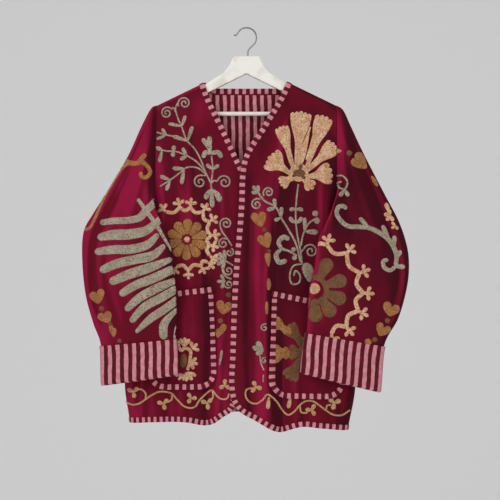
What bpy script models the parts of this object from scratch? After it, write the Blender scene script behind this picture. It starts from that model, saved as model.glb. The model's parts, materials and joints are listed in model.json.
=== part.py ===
"""Suzani jacket on a wooden hanger, modelled piece by piece.

Millimetres inside the tables and functions, metres in the meshes. +X is the viewer's right, the
front of the jacket faces -Y, and the origin is the inside top of the hook's crown. Every cloth piece
is a wall about its middle surface, which is worked out from the tables below.
"""

import math

import bmesh
import bpy
import numpy as np
from mathutils import Vector

MM = 0.001

# Walls and clearances
CLOTH = 2.0  # velvet, wadding and lining together
CUFF_CLOTH = 3.0
LINING_CLOTH = 1.0
BINDING_CLOTH = 1.0
SEAM = 0.3  # half of the gap left between two middle surfaces at a seam
BINDING_WIDTH = 14.0
BINDING_CLEAR = 0.5
POCKET_CLEAR = 1.7
BAND_CLOTH = 1.2
BAND_CLEAR = 1.0
LINING_LOW_Z = -400.0
NECK_BINDING_ROWS = (0, 3, 5)  # the rows of the back that its neck binding is made from
LINING_FIRST_ROW = 6

# Shoulders and armholes
NECK_X = 101.0
NECK_Z = -131.5
SHOULDER_SLOPE = 0.486
TIP_X = 216.0
UNDERARM_Z = -437.0
UNDERARM_X = {-1: 220.0, 1: 217.0}
ARMHOLE_DEPTH = 19.0  # half of the armhole's opening, front to back
UNDERARM_HALF = 1.6  # the least half opening in the armhole's lower half
ROLL_DROP = 9.0  # how far down the cloth bends over the hanger
FRONT_ROLL = 10.5
BACK_ROLL = 12.5
EDGE_ROLL = 25.0  # how far in from the side seam the cloth turns

# Depth of the flat-hanging body
FRONT_DEPTH = 22.0
FRONT_BELLY = 5.0
BACK_DEPTH = 19.0
LAP = 4.2  # half the distance between the lapped fronts
LAP_REACH = 95.0
FOLD_RUN = 110.0  # length over which a fold or the body's depth comes in
HEM_WAVE = 330.0  # height above the hem in which its waves begin
NECK_SCOOP = 13.5

# Inner edge of each front, from the neck point down to the rounded corner
FRONT_EDGE = {
    -1: [
        # x, z
        (-103.0, -132.5),
        (-97.0, -151.0),
        (-55.0, -242.0),
        (-16.0, -326.0),
        (-7.0, -355.0),
        (-6.0, -415.0),
        (-9.5, -499.0),
        (-15.0, -583.0),
        (-20.5, -690.0),
        (-24.0, -799.0),
        (-26.0, -860.0),
        (-26.0, -905.0),
    ],
    1: [
        (98.0, -130.0),
        (89.0, -151.0),
        (42.0, -233.0),
        (-8.0, -319.0),
        (-14.0, -355.0),
        (-16.0, -415.0),
        (-22.0, -499.0),
        (-29.0, -583.0),
        (-34.5, -690.0),
        (-38.0, -799.0),
        (-40.5, -850.0),
        (-38.0, -880.0),
        (-33.0, -900.0),
    ],
}

# Hem of each front, from the rounded corner out to the side seam
FRONT_HEM = {
    -1: [
        # x times the side, z
        (26.0, -905.0),
        (35.0, -921.0),
        (52.0, -931.0),
        (83.0, -953.0),
        (100.0, -955.0),
        (136.0, -948.0),
        (208.0, -946.0),
        (281.0, -949.0),
    ],
    1: [
        (-33.0, -900.0),
        (-20.0, -918.0),
        (-4.0, -929.0),
        (23.0, -943.0),
        (56.0, -962.0),
        (80.0, -971.0),
        (104.0, -965.0),
        (128.0, -958.0),
        (176.0, -961.0),
        (244.0, -967.0),
    ],
}

# Hem of the back, side seam to side seam
BACK_HEM = [
    # x, z
    (-281.0, -949.0),
    (-150.0, -940.0),
    (-20.0, -926.0),
    (90.0, -932.0),
    (244.0, -967.0),
]

# Side seam below the armhole, as a distance from x = 0
SIDE_SEAM = {
    -1: [
        # z, distance
        (-437.0, 220.0),
        (-487.0, 222.0),
        (-631.0, 241.0),
        (-751.0, 275.0),
        (-847.0, 293.0),
        (-949.0, 281.0),
    ],
    1: [
        (-437.0, 217.0),
        (-487.0, 220.0),
        (-631.0, 236.0),
        (-751.0, 253.0),
        (-862.0, 262.0),
        (-967.0, 244.0),
    ],
}

# Folds: three points of each fold's line, its half width, and its height (a trough is negative)
FOLDS = {
    "left_front": [
        # x0, z0, x1, z1, x2, z2, width, height
        (-132, -330, -122, -470, -118, -680, 26, 6.0),
        (-66, -560, -72, -740, -82, -960, 26, -5.0),
        (-36, -700, -38, -830, -42, -960, 24, 2.0),
        (-188, -560, -200, -740, -215, -960, 30, 4.0),
    ],
    "right_front": [
        (18, -300, 16, -600, 24, -950, 20, -4.5),
        (118, -190, 66, -440, 50, -960, 27, 6.0),
        (88, -700, 92, -860, 95, -980, 26, -4.0),
        (160, -330, 165, -450, 160, -600, 30, -4.0),
        (150, -700, 175, -850, 190, -980, 30, 4.0),
    ],
    "back": [
        (-130, -260, -140, -560, -165, -960, 30, 5.0),
        (-60, -330, -66, -640, -80, -960, 26, -5.0),
        (10, -300, 14, -640, 10, -960, 30, 5.5),
        (84, -360, 90, -660, 104, -960, 24, -5.0),
        (150, -300, 160, -640, 185, -960, 30, 5.0),
    ],
}

# Sleeves: the ring's outer point T, its inner point B, and how far its front bulges over the seam
SLEEVE = {
    -1: [
        # xT, zT, xB, zB, yT, yB, half depth, bulge
        (-216.8, -186.5, -221.2, -431.5, 0, 0, 19, 0),
        (-231, -196, -226, -444, -2, -12, 19, 7),
        (-255, -243, -226, -459, -4, -28, 18, 12),
        (-284, -308, -212, -478, -8, -42, 17, 13),
        (-327, -385, -191, -502, -14, -50, 16, 11),
        (-365, -445, -181, -535, -21, -54, 15, 7),
        (-389, -493, -176, -578, -29, -57, 14, 4),
        (-391, -564, -169, -619, -36, -59, 13, 2),
        (-382, -643, -167, -655, -42, -60, 12, 0),
        (-364, -708, -166, -691, -46, -60, 12, 0),
        (-345, -763, -169, -746, -48, -60, 12, 0),
        (-342, -853, -164, -827, -48, -60, 12, 0),
    ],
    1: [
        (216.8, -186.5, 218.7, -431.5, 0, 0, 19, 0),
        (233, -199, 224, -444, -2, -12, 19, 10),
        (252, -240, 224, -459, -4, -28, 18, 17),
        (283, -307, 208, -478, -8, -44, 17, 21),
        (331, -401, 185, -502, -14, -50, 16, 19),
        (365, -468, 171, -535, -21, -54, 15, 12),
        (384, -530, 163, -578, -29, -57, 14, 7),
        (387, -583, 153, -619, -36, -59, 13, 4),
        (379, -636, 148, -655, -42, -60, 12, 2),
        (360, -698, 146, -691, -46, -60, 12, 0),
        (326, -764, 143, -732, -48, -60, 12, 0),
        (316, -869, 131, -823, -48, -60, 12, 0),
    ],
}
SLEEVE_RINGS = (0, 0.3, 0.65, 1, 1.5, 2, 2.5, 3, 3.6, 4.3, 5, 6, 7, 8, 9, 10, 11)
RING_POINTS = 22
BULGE_RISE = 2  # how late round the ring the bulge grows
BULGE_LIFT = 0.8
CUFF_TOP = 10  # the row of the sleeve table that the cuff's top edge is at
CUFF_OFF = CLOTH / 2 + SEAM + CUFF_CLOTH / 2 + 0.3
CUFF_TURN_IN = 0.33  # share of the cuff that is turned up inside

# Patch pockets: corners in x and z
POCKET = {
    -1: {
        "inner_top": (-83, -624),
        "outer_top": (-226, -642),
        "inner_low": (-70, -868),
        "outer_low": (-238, -868),
    },
    1: {
        "inner_top": (61, -634),
        "outer_top": (224, -668),
        "inner_low": (52, -889),
        "outer_low": (236, -891),
    },
}
POCKET_CORNER = 46.0
MOUTH_OVERHANG = 1.2  # how far a pocket's bindings reach past its edge

# Hanger
ARM_HALF = 6.2
ARM_END = 203.0
ARM_BEVEL = 4.0
UNDERSIDE_Z = -110.5
UNDERSIDE_SLOPE = 0.486
WOOD_TOP_Z = -67.0
WOOD_TOP_X = 30.0
CLOTH_TO_WOOD = 4.6
BAR_Z = -206.0
BAR_RADIUS = 5.0
BAR_HALF_LENGTH = 184.6
HOOK_RADIUS = 24.0
WIRE = 1.75
STEM_X = 3.0
STEM_IN_WOOD = 14.0
STEM_CLEAR = 0.35

# Colours of the finishes, as linear red, green, blue
VELVET = (0.147, 0.008, 0.03)
STRIPED = (0.34, 0.11, 0.14)
WOOD = (0.75, 0.73, 0.7)
STEEL = (0.55, 0.55, 0.56)


def spline(knots, values, at):
    """Smooth curve through the values, with one tangent at each knot."""
    knots = np.asarray(knots, float)
    values = np.asarray(values, float)
    if knots[0] > knots[-1]:
        knots = knots[::-1]
        values = values[::-1]
    at = np.clip(np.asarray(at, float), knots[0], knots[-1])
    slopes = np.gradient(values, knots, axis=0)
    span = np.clip(np.searchsorted(knots, at, side="right") - 1, 0, len(knots) - 2)
    width = knots[span + 1] - knots[span]
    u = (at - knots[span]) / width
    if values.ndim > 1:
        u = u[..., None]
        width = width[..., None]
    h00 = (1 + 2 * u) * (1 - u) ** 2
    h10 = u * (1 - u) ** 2
    h01 = u * u * (3 - 2 * u)
    h11 = u * u * (u - 1)
    start = h00 * values[span] + h10 * width * slopes[span]
    end = h01 * values[span + 1] + h11 * width * slopes[span + 1]
    return start + end


def ease(value):
    value = np.clip(value, 0.0, 1.0)
    return value * value * (3 - 2 * value)


def unit(vectors):
    return vectors / np.maximum(np.linalg.norm(vectors, axis=-1, keepdims=True), 1e-9)


def shoulder_z(x):
    """Height of the shoulder line, carried on up to the middle inside the neck."""
    return NECK_Z - SHOULDER_SLOPE * (np.abs(x) - NECK_X)


def outer_x(side, z):
    """Distance from x = 0 of the armhole line and of the side seam below it."""
    tip_z = shoulder_z(TIP_X)
    armhole = TIP_X + (UNDERARM_X[side] - TIP_X) * (tip_z - z) / (tip_z - UNDERARM_Z)
    table = np.array(SIDE_SEAM[side])
    seam = spline(table[:, 0], table[:, 1], z)
    return np.where(z > UNDERARM_Z, armhole, seam)


def seam_half(z):
    """Distance of a panel's outer edge from y = 0: the armhole's half opening, or the seam's gap."""
    tip_z = shoulder_z(TIP_X)
    down = np.clip((tip_z - z) / (tip_z - UNDERARM_Z), 0.0, 1.0)
    armhole = ARMHOLE_DEPTH * 2 * np.sqrt(down * (1 - down))
    least = np.where(down > 0.5, UNDERARM_HALF, SEAM)
    return np.where(z > UNDERARM_Z, np.maximum(armhole, least), SEAM)


def fold_height(name, x, z):
    """Sum of the folds of one panel at a point, outwards."""
    total = np.zeros_like(np.asarray(x, float))
    for x0, z0, x1, z1, x2, z2, width, height in FOLDS[name]:
        line = spline([z2, z1, z0], [x2, x1, x0], z)
        rise = ease((z0 - z) / FOLD_RUN)
        fall = ease((z - z2 + FOLD_RUN + 20.0) / FOLD_RUN)
        total = total + height * rise * fall * np.exp(-(((x - line) / width) ** 2))
    return total


def body_y(panel, x, z):
    """Depth of a body panel's middle surface at a point seen from the front."""
    x = np.asarray(x, float)
    z = np.asarray(z, float)
    drop = np.maximum(shoulder_z(x) - z, 0.0)
    hang = ease((drop - ROLL_DROP) / FOLD_RUN)
    if panel == "back":
        flat, roll = BACK_DEPTH, BACK_ROLL
    else:
        flat, roll = FRONT_DEPTH + FRONT_BELLY * np.exp(-((x / 120.0) ** 2)), FRONT_ROLL
    rounding = np.clip(1 - drop / ROLL_DROP, 0.0, 1.0)
    depth = np.where(drop < ROLL_DROP, roll * np.sqrt(1 - rounding**2), roll + (flat - roll) * hang)
    depth = depth + fold_height(panel, x, z) * hang
    if panel == "left_front":
        depth = depth - LAP * np.exp(-((x / LAP_REACH) ** 2)) * hang
    if panel == "right_front":
        depth = depth + LAP * np.exp(-((x / LAP_REACH) ** 2)) * hang
    side = np.where(x < 0, -1, 1)
    reach = np.where(side < 0, outer_x(-1, z), outer_x(1, z))
    inward = np.clip((reach - np.abs(x)) / EDGE_ROLL, 0.0, 1.0)
    below = ease((UNDERARM_Z - z) / 30.0)
    rounded = np.sqrt(1 - (1 - inward) ** 2)
    creased = 1 - (1 - inward) ** 2
    turn = below * rounded + (1 - below) * creased
    edge = seam_half(z)
    depth = edge + (depth - edge) * turn
    return np.maximum(depth, SEAM) * (1 if panel == "back" else -1)


def out_from(panel, x, z, distance):
    """Points at a distance outwards from a panel's middle surface."""
    step = 0.5
    y = body_y(panel, x, z)
    slope_x = (body_y(panel, x + step, z) - body_y(panel, x - step, z)) / (2 * step)
    slope_z = (body_y(panel, x, z + step) - body_y(panel, x, z - step)) / (2 * step)
    sign = 1 if panel == "back" else -1
    normal = unit(np.stack([-sign * slope_x, np.full_like(y, sign), -sign * slope_z], axis=-1))
    return np.stack([x, y, z], axis=-1) + normal * distance


def grid_normals(points, closed=False):
    """Unit normals of a grid of points, which may close round its second direction."""
    if closed:
        across = (np.roll(points, -1, axis=1) - np.roll(points, 1, axis=1)) / 2
    else:
        across = np.gradient(points, axis=1, edge_order=2)
    down = np.gradient(points, axis=0, edge_order=2)
    return unit(np.cross(across, down))


def grid_faces(rows, columns, closed, first):
    """Triangles of one skin, as point numbers counted from first, all cut along the same diagonal."""
    faces = []
    last = columns if closed else columns - 1
    for row in range(rows - 1):
        for column in range(last):
            after = (column + 1) % columns
            a = first + row * columns + column
            b = first + row * columns + after
            faces.append((a, b, b + columns))
            faces.append((a, b + columns, a + columns))
    return faces


def add_object(name, bm, colour, roughness, metallic=0.0):
    """Names a finished bmesh, gives it its own material and links it."""
    bmesh.ops.recalc_face_normals(bm, faces=bm.faces)
    mesh = bpy.data.meshes.new(name)
    bm.to_mesh(mesh)
    bm.free()
    obj = bpy.data.objects.new(name, mesh)
    bpy.context.scene.collection.objects.link(obj)
    material = bpy.data.materials.new(name)
    material.use_nodes = True
    shader = material.node_tree.nodes["Principled BSDF"]
    shader.inputs["Base Color"].default_value = (*colour, 1.0)
    shader.inputs["Roughness"].default_value = roughness
    shader.inputs["Metallic"].default_value = metallic
    mesh.materials.append(material)
    return obj


def add_wall(name, outer, inner, colour, closed=False):
    """One closed body between two skins of points of the same shape."""
    rows, columns = outer.shape[:2]
    count = rows * columns
    bm = bmesh.new()
    verts = [bm.verts.new(point * MM) for point in outer.reshape(-1, 3)]
    verts += [bm.verts.new(point * MM) for point in inner.reshape(-1, 3)]
    faces = grid_faces(rows, columns, closed, 0)
    faces += [face[::-1] for face in grid_faces(rows, columns, closed, count)]
    rim = []
    for column in range(columns if closed else columns - 1):
        after = (column + 1) % columns
        rim.append((column, after))
        rim.append(((rows - 1) * columns + after, (rows - 1) * columns + column))
    if not closed:
        for row in range(rows - 1):
            rim.append(((row + 1) * columns, row * columns))
            rim.append((row * columns + columns - 1, (row + 1) * columns + columns - 1))
    for a, b in rim:
        faces.append((b, a, a + count, b + count))
    for face in faces:
        bm.faces.new([verts[index] for index in face])
    return add_object(name, bm, colour, 0.9)


def front_grid(side):
    """Middle surface of one front, rows from the shoulder seam to the hem, columns from the edge out."""
    edge = np.array(FRONT_EDGE[side])
    hem = np.array(FRONT_HEM[side])
    length = edge[0, 1] - edge[-1, 1]
    top = [0.0, 0.6, 2.2, 5.0, 9.0, 18.0, 34.0]
    low = [length - BINDING_WIDTH, length - BINDING_WIDTH / 2, length]
    drops = np.concatenate([top, np.linspace(34.0, low[0], 13)[1:-1], low])
    inner_z = edge[0, 1] - drops
    tip_z = shoulder_z(TIP_X)
    outer_length = tip_z - hem[-1, 1]
    from_hem = drops[-1] - drops
    outer_z = np.where(from_hem < 20, hem[-1, 1] + from_hem, tip_z - drops * outer_length / length)
    inner_x = spline(edge[:, 1], edge[:, 0], inner_z)
    side_x = side * outer_x(side, outer_z)
    turn = EDGE_ROLL * np.array([1.0, 0.62, 0.3, 0.1, 0.025, 0.0])
    fixed = np.array([0.0, BINDING_WIDTH / 2, BINDING_WIDTH])
    rows = []
    for x0, z0, x1, z1, rest in zip(inner_x, inner_z, side_x, outer_z, from_hem):
        span = abs(x1 - x0)
        along = np.concatenate([fixed, np.linspace(BINDING_WIDTH, span - EDGE_ROLL, 13)[1:-1], span - turn])
        share = along / span
        x = x0 + (x1 - x0) * share
        z = z0 + (z1 - z0) * share
        hem_x = hem[0, 0] * side + (hem[-1, 0] - hem[0, 0]) * side * share
        line = hem[0, 1] + (hem[-1, 1] - hem[0, 1]) * share
        wave = spline(hem[:, 0], hem[:, 1], hem_x * side) - line
        fade = ease((HEM_WAVE - rest) / (HEM_WAVE - 20.0))
        rows.append(np.stack([x, z + wave * fade], axis=-1))
    flat = np.array(rows)
    panel = "left_front" if side < 0 else "right_front"
    x, z = flat[..., 0], flat[..., 1]
    z[0] = np.minimum(z[0], shoulder_z(x[0]))
    points = np.stack([x, body_y(panel, x, z), z], axis=-1)
    points[0, :, 1] = -SEAM
    return points


def back_top(x):
    """Height of the back's upper edge: shoulder seams, and the neck scooped between them."""
    scoop = NECK_SCOOP * ease((NECK_X - np.abs(x)) / 22.0)
    return np.where(np.abs(x) < NECK_X, NECK_Z - scoop, shoulder_z(x))


def back_grid():
    """Middle surface of the back, rows from the top edge to the hem, columns from left to right."""
    inside = [101.0, 98.0, 94.0, 88.0, 76.0, 62.0]
    half = np.array([216, 215.2, 212.5, 206, 198, 190, 165, 140, 118] + inside)
    top_x = np.concatenate([-half, np.linspace(-44, 44, 5), half[::-1]])
    hem = np.array(BACK_HEM)
    share = (top_x + TIP_X) / (2 * TIP_X)
    hem_z = spline(hem[:, 0], hem[:, 1], hem[0, 0] + (hem[-1, 0] - hem[0, 0]) * share)
    top_z = back_top(top_x)
    steps = [0.0, 0.6, 2.2, 5.0, 9.0, BINDING_WIDTH, BINDING_WIDTH + 2 * SEAM, 34.0]
    low = [BINDING_WIDTH, BINDING_WIDTH / 2, 0.0]
    rows = []
    for step in steps:
        rows.append(top_z - step)
    for part in np.linspace(0, 1, 10)[1:-1]:
        rows.append((top_z - steps[-1]) * (1 - part) + (hem_z + low[0]) * part)
    for rise in low:
        rows.append(hem_z + rise)
    z = np.array(rows)
    left = -outer_x(-1, z)
    right = outer_x(1, z)
    x = left + (right - left) * share
    points = np.stack([x, body_y("back", x, z), z], axis=-1)
    seam = np.abs(top_x) >= NECK_X
    points[0, seam, 1] = SEAM
    return points


def panel_normals(points, outer_columns, shoulder):
    """Outward normals, kept in the seam's plane along the armholes, side seams and shoulder seams."""
    normals = grid_normals(points)
    front = points[len(points) // 2, points.shape[1] // 2, 1] < 0
    if (normals[len(points) // 2, points.shape[1] // 2, 1] < 0) != front:
        normals = -normals
    for column in outer_columns:
        above = points[:, column, 2] > UNDERARM_Z
        normals[above, column, 0] = 0.0
        normals[~above, column] = (np.sign(points[0, column, 0]), 0.0, 0.0)
    normals[0, shoulder, 1] = 0.0
    normals[0, shoulder, 0] *= 0.5
    for column in outer_columns:
        normals[0, column] = (0.0, 0.0, 1.0)
    return unit(normals)


def binding_section(start, middle, end, normals):
    """The eight-sided U of a binding at one station, round the panel's edge at start."""
    near = BINDING_CLEAR + CLOTH / 2
    far = near + BINDING_CLOTH
    out = unit(start - middle)
    lip = start + out * BINDING_CLEAR
    tip = start + out * (BINDING_CLEAR + BINDING_CLOTH)
    n0, n1, n2 = normals
    return [
        end + n2 * far,
        middle + n1 * far,
        tip + n0 * far,
        tip - n0 * far,
        middle - n1 * far,
        end - n2 * far,
        end - n2 * near,
        middle - n1 * near,
        lip - n0 * near,
        lip + n0 * near,
        middle + n1 * near,
        end + n2 * near,
    ]


def add_binding(name, strip, normals):
    """A binding swept along an edge. strip holds, for each station, the edge, half way and the inside."""
    sections = [binding_section(*points, dirs) for points, dirs in zip(strip, normals)]
    sections = np.array(sections)
    stations, sides = sections.shape[:2]
    bm = bmesh.new()
    verts = [bm.verts.new(point * MM) for point in sections.reshape(-1, 3)]
    for face in grid_faces(stations, sides, True, 0):
        bm.faces.new([verts[index] for index in face])
    for first in (0, (stations - 1) * sides):
        for a, b, c, d in ((0, 1, 10, 11), (1, 2, 9, 10), (2, 3, 8, 9), (3, 4, 7, 8), (4, 5, 6, 7)):
            bm.faces.new([verts[first + index] for index in (a, b, c, d)])
    return add_object(name, bm, STRIPED, 0.85)


def ring(row, side, widen=0.0, along=0.0):
    """Points of one sleeve ring: T at the outer edge, through the front to B, and back behind."""
    table = np.array(SLEEVE[side], float)
    xt, zt, xb, zb, yt, yb, half, bulge = spline(np.arange(len(table)), table, row)
    outer = np.array([xt, yt, zt])
    inner = np.array([xb, yb, zb])
    across = inner - outer
    across[1] = 0.0
    across = unit(across)
    axis = np.array([across[2], 0.0, -across[0]])
    if axis[2] > 0:
        axis = -axis
    outer = outer + axis * along
    inner = inner + axis * along
    angle = np.linspace(0, 2 * math.pi, RING_POINTS, endpoint=False)
    share = (1 - np.cos(angle)) / 2
    power = 1.0 - 0.4 * min(row / 3.0, 1.0)
    swell = np.sign(np.sin(angle)) * np.abs(np.sin(angle)) ** power
    points = outer + (inner - outer) * share[:, None]
    points[:, 1] -= half * swell
    front = np.where(np.sin(angle) > 0, np.abs(np.sin(angle)) ** 0.5, 0.0) * share**BULGE_RISE * bulge
    points[:, 0] -= side * front
    points[:, 1] -= BULGE_LIFT * front
    if widen:
        points = points + ring_out(points, axis) * widen
    return points


def ring_out(points, axis):
    """How far each point of a ring moves for its facets to move out by one, square to the axis."""
    sides = unit(np.roll(points, -1, axis=0) - points)
    facing = unit(np.cross(sides, axis))
    before = np.roll(facing, 1, axis=0)
    middle = unit(facing + before)
    middle = middle / np.sum(middle * facing, axis=1, keepdims=True)
    outwards = np.sum(middle * (points - points.mean(axis=0))) > 0
    return middle if outwards else -middle


def ring_normals(rings):
    """Normals of a tube of rings, pointing away from its middle."""
    normals = grid_normals(rings, closed=True)
    centres = rings.mean(axis=1, keepdims=True)
    facing = np.sum(normals * (rings - centres), axis=-1).mean()
    return normals if facing > 0 else -normals


def add_sleeve(side):
    rings = np.array([ring(row, side) for row in SLEEVE_RINGS])
    normals = ring_normals(rings)
    normals[0, :, 0] = 0.0
    normals = unit(normals)
    name = "left_sleeve" if side < 0 else "right_sleeve"
    add_wall(name, rings + normals * CLOTH / 2, rings - normals * CLOTH / 2, VELVET, closed=True)


def add_cuff(side):
    """The turned-back cuff: down outside the sleeve, round its end and a little way up inside."""
    last = len(SLEEVE[side]) - 1
    rows = [ring(CUFF_TOP, side, CUFF_OFF), ring(last, side, CUFF_OFF)]
    for turn in (45, 90, 135):
        angle = math.radians(turn)
        rows.append(ring(last, side, CUFF_OFF * math.cos(angle), CUFF_OFF * math.sin(angle)))
    low = ring(last, side, -CUFF_OFF)
    high = ring(CUFF_TOP, side, -CUFF_OFF)
    rows.append(low)
    rows.append(low + (high - low) * CUFF_TURN_IN)
    rings = np.array(rows)
    normals = grid_normals(rings, closed=True)
    centres = rings.mean(axis=1, keepdims=True)
    if np.sum(normals[0] * (rings[0] - centres[0])) < 0:
        normals = -normals
    name = "left_cuff" if side < 0 else "right_cuff"
    half = CUFF_CLOTH / 2
    add_wall(name, rings + normals * half, rings - normals * half, STRIPED, closed=True)


def pocket_flat(side, across, down):
    """A pocket's point seen from the front, for shares across it and down it."""
    shape = {key: np.array(value, float) for key, value in POCKET[side].items()}
    height = shape["inner_top"][1] - shape["inner_low"][1]
    width = np.abs(shape["outer_low"][0] - shape["inner_low"][0])
    start = 1 - POCKET_CORNER / height
    bend = np.clip((down - start) / (1 - start), 0.0, 1.0)
    narrow = (1 - np.sqrt(1 - bend**2)) * POCKET_CORNER / width
    share = narrow + (1 - 2 * narrow) * across
    top = shape["inner_top"] * (1 - share)[..., None] + shape["outer_top"] * share[..., None]
    low = shape["inner_low"] * (1 - share)[..., None] + shape["outer_low"] * share[..., None]
    return top * (1 - down)[..., None] + low * down[..., None]


def add_pocket(side):
    """A patch pocket with a binding over its mouth and one round its sides and bottom."""
    panel = "left_front" if side < 0 else "right_front"
    word = "left" if side < 0 else "right"
    corner_steps = 1 - 0.19 * (1 - np.sin(np.linspace(0, math.pi / 2, 6)))
    downs = np.concatenate([np.linspace(0, 0.81, 8)[:-1], corner_steps])
    across = np.linspace(0, 1, 14)
    flat = pocket_flat(side, *np.meshgrid(across, downs))
    off = CLOTH / 2 + POCKET_CLEAR
    outer = out_from(panel, flat[..., 0], flat[..., 1], off + CLOTH)
    inner = out_from(panel, flat[..., 0], flat[..., 1], off)
    add_wall(word + "_pocket", outer, inner, VELVET)

    band = off + CLOTH + BAND_CLEAR
    edge = [pocket_flat(side, np.zeros(1), np.array([down]))[0] for down in downs[:-1]]
    edge += [pocket_flat(side, np.array([share]), np.ones(1))[0] for share in np.linspace(0, 1, 6)]
    edge += [pocket_flat(side, np.ones(1), np.array([down]))[0] for down in downs[-2::-1]]
    edge = np.array(edge)
    tangent = unit(np.gradient(edge, axis=0))
    inward = np.stack([tangent[:, 1], -tangent[:, 0]], axis=-1)
    centre = edge.mean(axis=0)
    if np.sum(inward * (centre - edge)) < 0:
        inward = -inward
    steps = np.array([-MOUTH_OVERHANG, BINDING_WIDTH / 2, BINDING_WIDTH])
    shares = np.linspace(0, 1, 9)
    top = pocket_flat(side, shares, np.zeros(9))
    along = unit(top[-1] - top[0])
    downward = np.array([along[1], -along[0]]) * np.sign(along[0])
    under = downward * (BINDING_WIDTH + BAND_CLEAR)
    first = edge[0] + under + along * steps[:, None]
    last = edge[-1] + under - along * steps[:, None]
    strip = edge[1:-1, None, :] + inward[1:-1, None, :] * steps[None, :, None]
    strip = np.concatenate([first[None], strip, last[None]])
    add_band(word + "_pocket_edge_binding", panel, strip, band)

    top[0] -= along * MOUTH_OVERHANG
    top[-1] += along * MOUTH_OVERHANG
    strip = top[:, None, :] + downward[None, None, :] * steps[None, :, None]
    add_band(word + "_pocket_mouth_binding", panel, strip, band)


def add_band(name, panel, strip, off):
    """A flat band lying on a pocket, from points seen from the front."""
    outer = out_from(panel, strip[..., 0], strip[..., 1], off + BAND_CLOTH)
    inner = out_from(panel, strip[..., 0], strip[..., 1], off)
    add_wall(name, outer, inner, STRIPED)


def add_back():
    points = back_grid()
    top_x = points[0, :, 0]
    shoulder = np.abs(top_x) >= NECK_X - 0.5
    normals = panel_normals(points, (0, -1), shoulder)
    half = CLOTH / 2
    add_wall("back", points + normals * half, points - normals * half, VELVET)
    add_back_lining(points, normals)

    strip = points[-1:-4:-1].transpose(1, 0, 2)
    dirs = normals[-1:-4:-1].transpose(1, 0, 2)
    add_binding("hem_binding_back", strip, dirs)

    columns = np.flatnonzero(np.abs(top_x) < 90.0)
    block = np.ix_(NECK_BINDING_ROWS, columns)
    add_binding("neck_binding_back", points[block].transpose(1, 0, 2), normals[block].transpose(1, 0, 2))


def add_back_lining(points, normals):
    """The striped lining where it shows in the neck, made from the back's points and moved in."""
    columns = np.flatnonzero(np.abs(points[0, :, 0]) < 94.5)
    rows = np.flatnonzero(points[:, points.shape[1] // 2, 2] > LINING_LOW_Z)[LINING_FIRST_ROW:]
    block = np.ix_(rows, columns)
    off = CLOTH / 2 + SEAM
    skin = points[block] - normals[block] * off
    back = skin - normals[block] * LINING_CLOTH
    add_wall("back_lining", skin, back, STRIPED)


def add_front(side):
    points = front_grid(side)
    shoulder = np.full(points.shape[1], True)
    normals = panel_normals(points, (-1,), shoulder)
    word = "left" if side < 0 else "right"
    half = CLOTH / 2
    add_wall(word + "_front", points + normals * half, points - normals * half, VELVET)

    strip = points[:-2, :3].copy()
    dirs = normals[:-2, :3]
    strip[-1] = strip[-1] + (strip[-2] - strip[-1]) * 0.04
    add_binding("neck_binding_" + word + "_front", strip, dirs)

    strip = points[-1:-4:-1].transpose(1, 0, 2)
    dirs = normals[-1:-4:-1].transpose(1, 0, 2)
    add_binding("hem_binding_" + word + "_front", strip, dirs)


def add_hanger_body():
    """Wooden arms: one outline with thickness, rounded along its edges, with the stem's hole."""
    flare = [(WOOD_TOP_X, WOOD_TOP_Z), (35.0, -75.0), (43.0, -91.0), (56.0, -107.0), (76.0, -119.5)]
    reach = np.linspace(100.0, ARM_END - 14.0, 4)
    top = flare + [(x, shoulder_z(x) - CLOTH_TO_WOOD) for x in reach]
    end_top = shoulder_z(ARM_END - 8.0) - CLOTH_TO_WOOD
    end = [
        (ARM_END - 6.0, end_top - 1.0),
        (ARM_END, end_top - 8.0),
        (ARM_END, -207.0),
        (ARM_END - 6.0, -214.0),
    ]
    foot = [(BAR_HALF_LENGTH + 4.0, -214.0), (BAR_HALF_LENGTH + SEAM, -209.0)]
    turn_z = UNDERSIDE_Z - UNDERSIDE_SLOPE * (BAR_HALF_LENGTH + SEAM)
    under = [(BAR_HALF_LENGTH + SEAM, turn_z - 0.5), (20.0, UNDERSIDE_Z - UNDERSIDE_SLOPE * 20.0)]
    half = top + end + foot + under
    outline = half + [(0.0, UNDERSIDE_Z)] + [(-x, z) for x, z in reversed(half)]
    bm = bmesh.new()
    verts = [bm.verts.new(Vector((x, -ARM_HALF, z)) * MM) for x, z in outline]
    face = bm.faces.new(verts)
    moved = bmesh.ops.extrude_face_region(bm, geom=[face])["geom"]
    corners = [item for item in moved if isinstance(item, bmesh.types.BMVert)]
    bmesh.ops.translate(bm, verts=corners, vec=Vector((0, 2 * ARM_HALF, 0)) * MM)
    hanger = add_object("hanger_body", bm, WOOD, 0.45)
    bevel = hanger.modifiers.new("rounded", "BEVEL")
    bevel.width = ARM_BEVEL * MM
    bevel.segments = 3
    bevel.limit_method = "ANGLE"
    bevel.angle_limit = math.radians(70)
    bm = bmesh.new()
    depth = (STEM_IN_WOOD + 0.5) * 2
    bmesh.ops.create_cone(
        bm,
        cap_ends=True,
        segments=16,
        radius1=(WIRE + STEM_CLEAR) * MM,
        radius2=(WIRE + STEM_CLEAR) * MM,
        depth=depth * MM,
    )
    bmesh.ops.translate(bm, verts=bm.verts, vec=Vector((STEM_X, 0, WOOD_TOP_Z)) * MM)
    hole = add_object("stem_hole", bm, WOOD, 0.5)
    hole.hide_render = True
    hole.display_type = "WIRE"
    cut = hanger.modifiers.new("stem", "BOOLEAN")
    cut.object = hole
    cut.solver = "EXACT"


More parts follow.
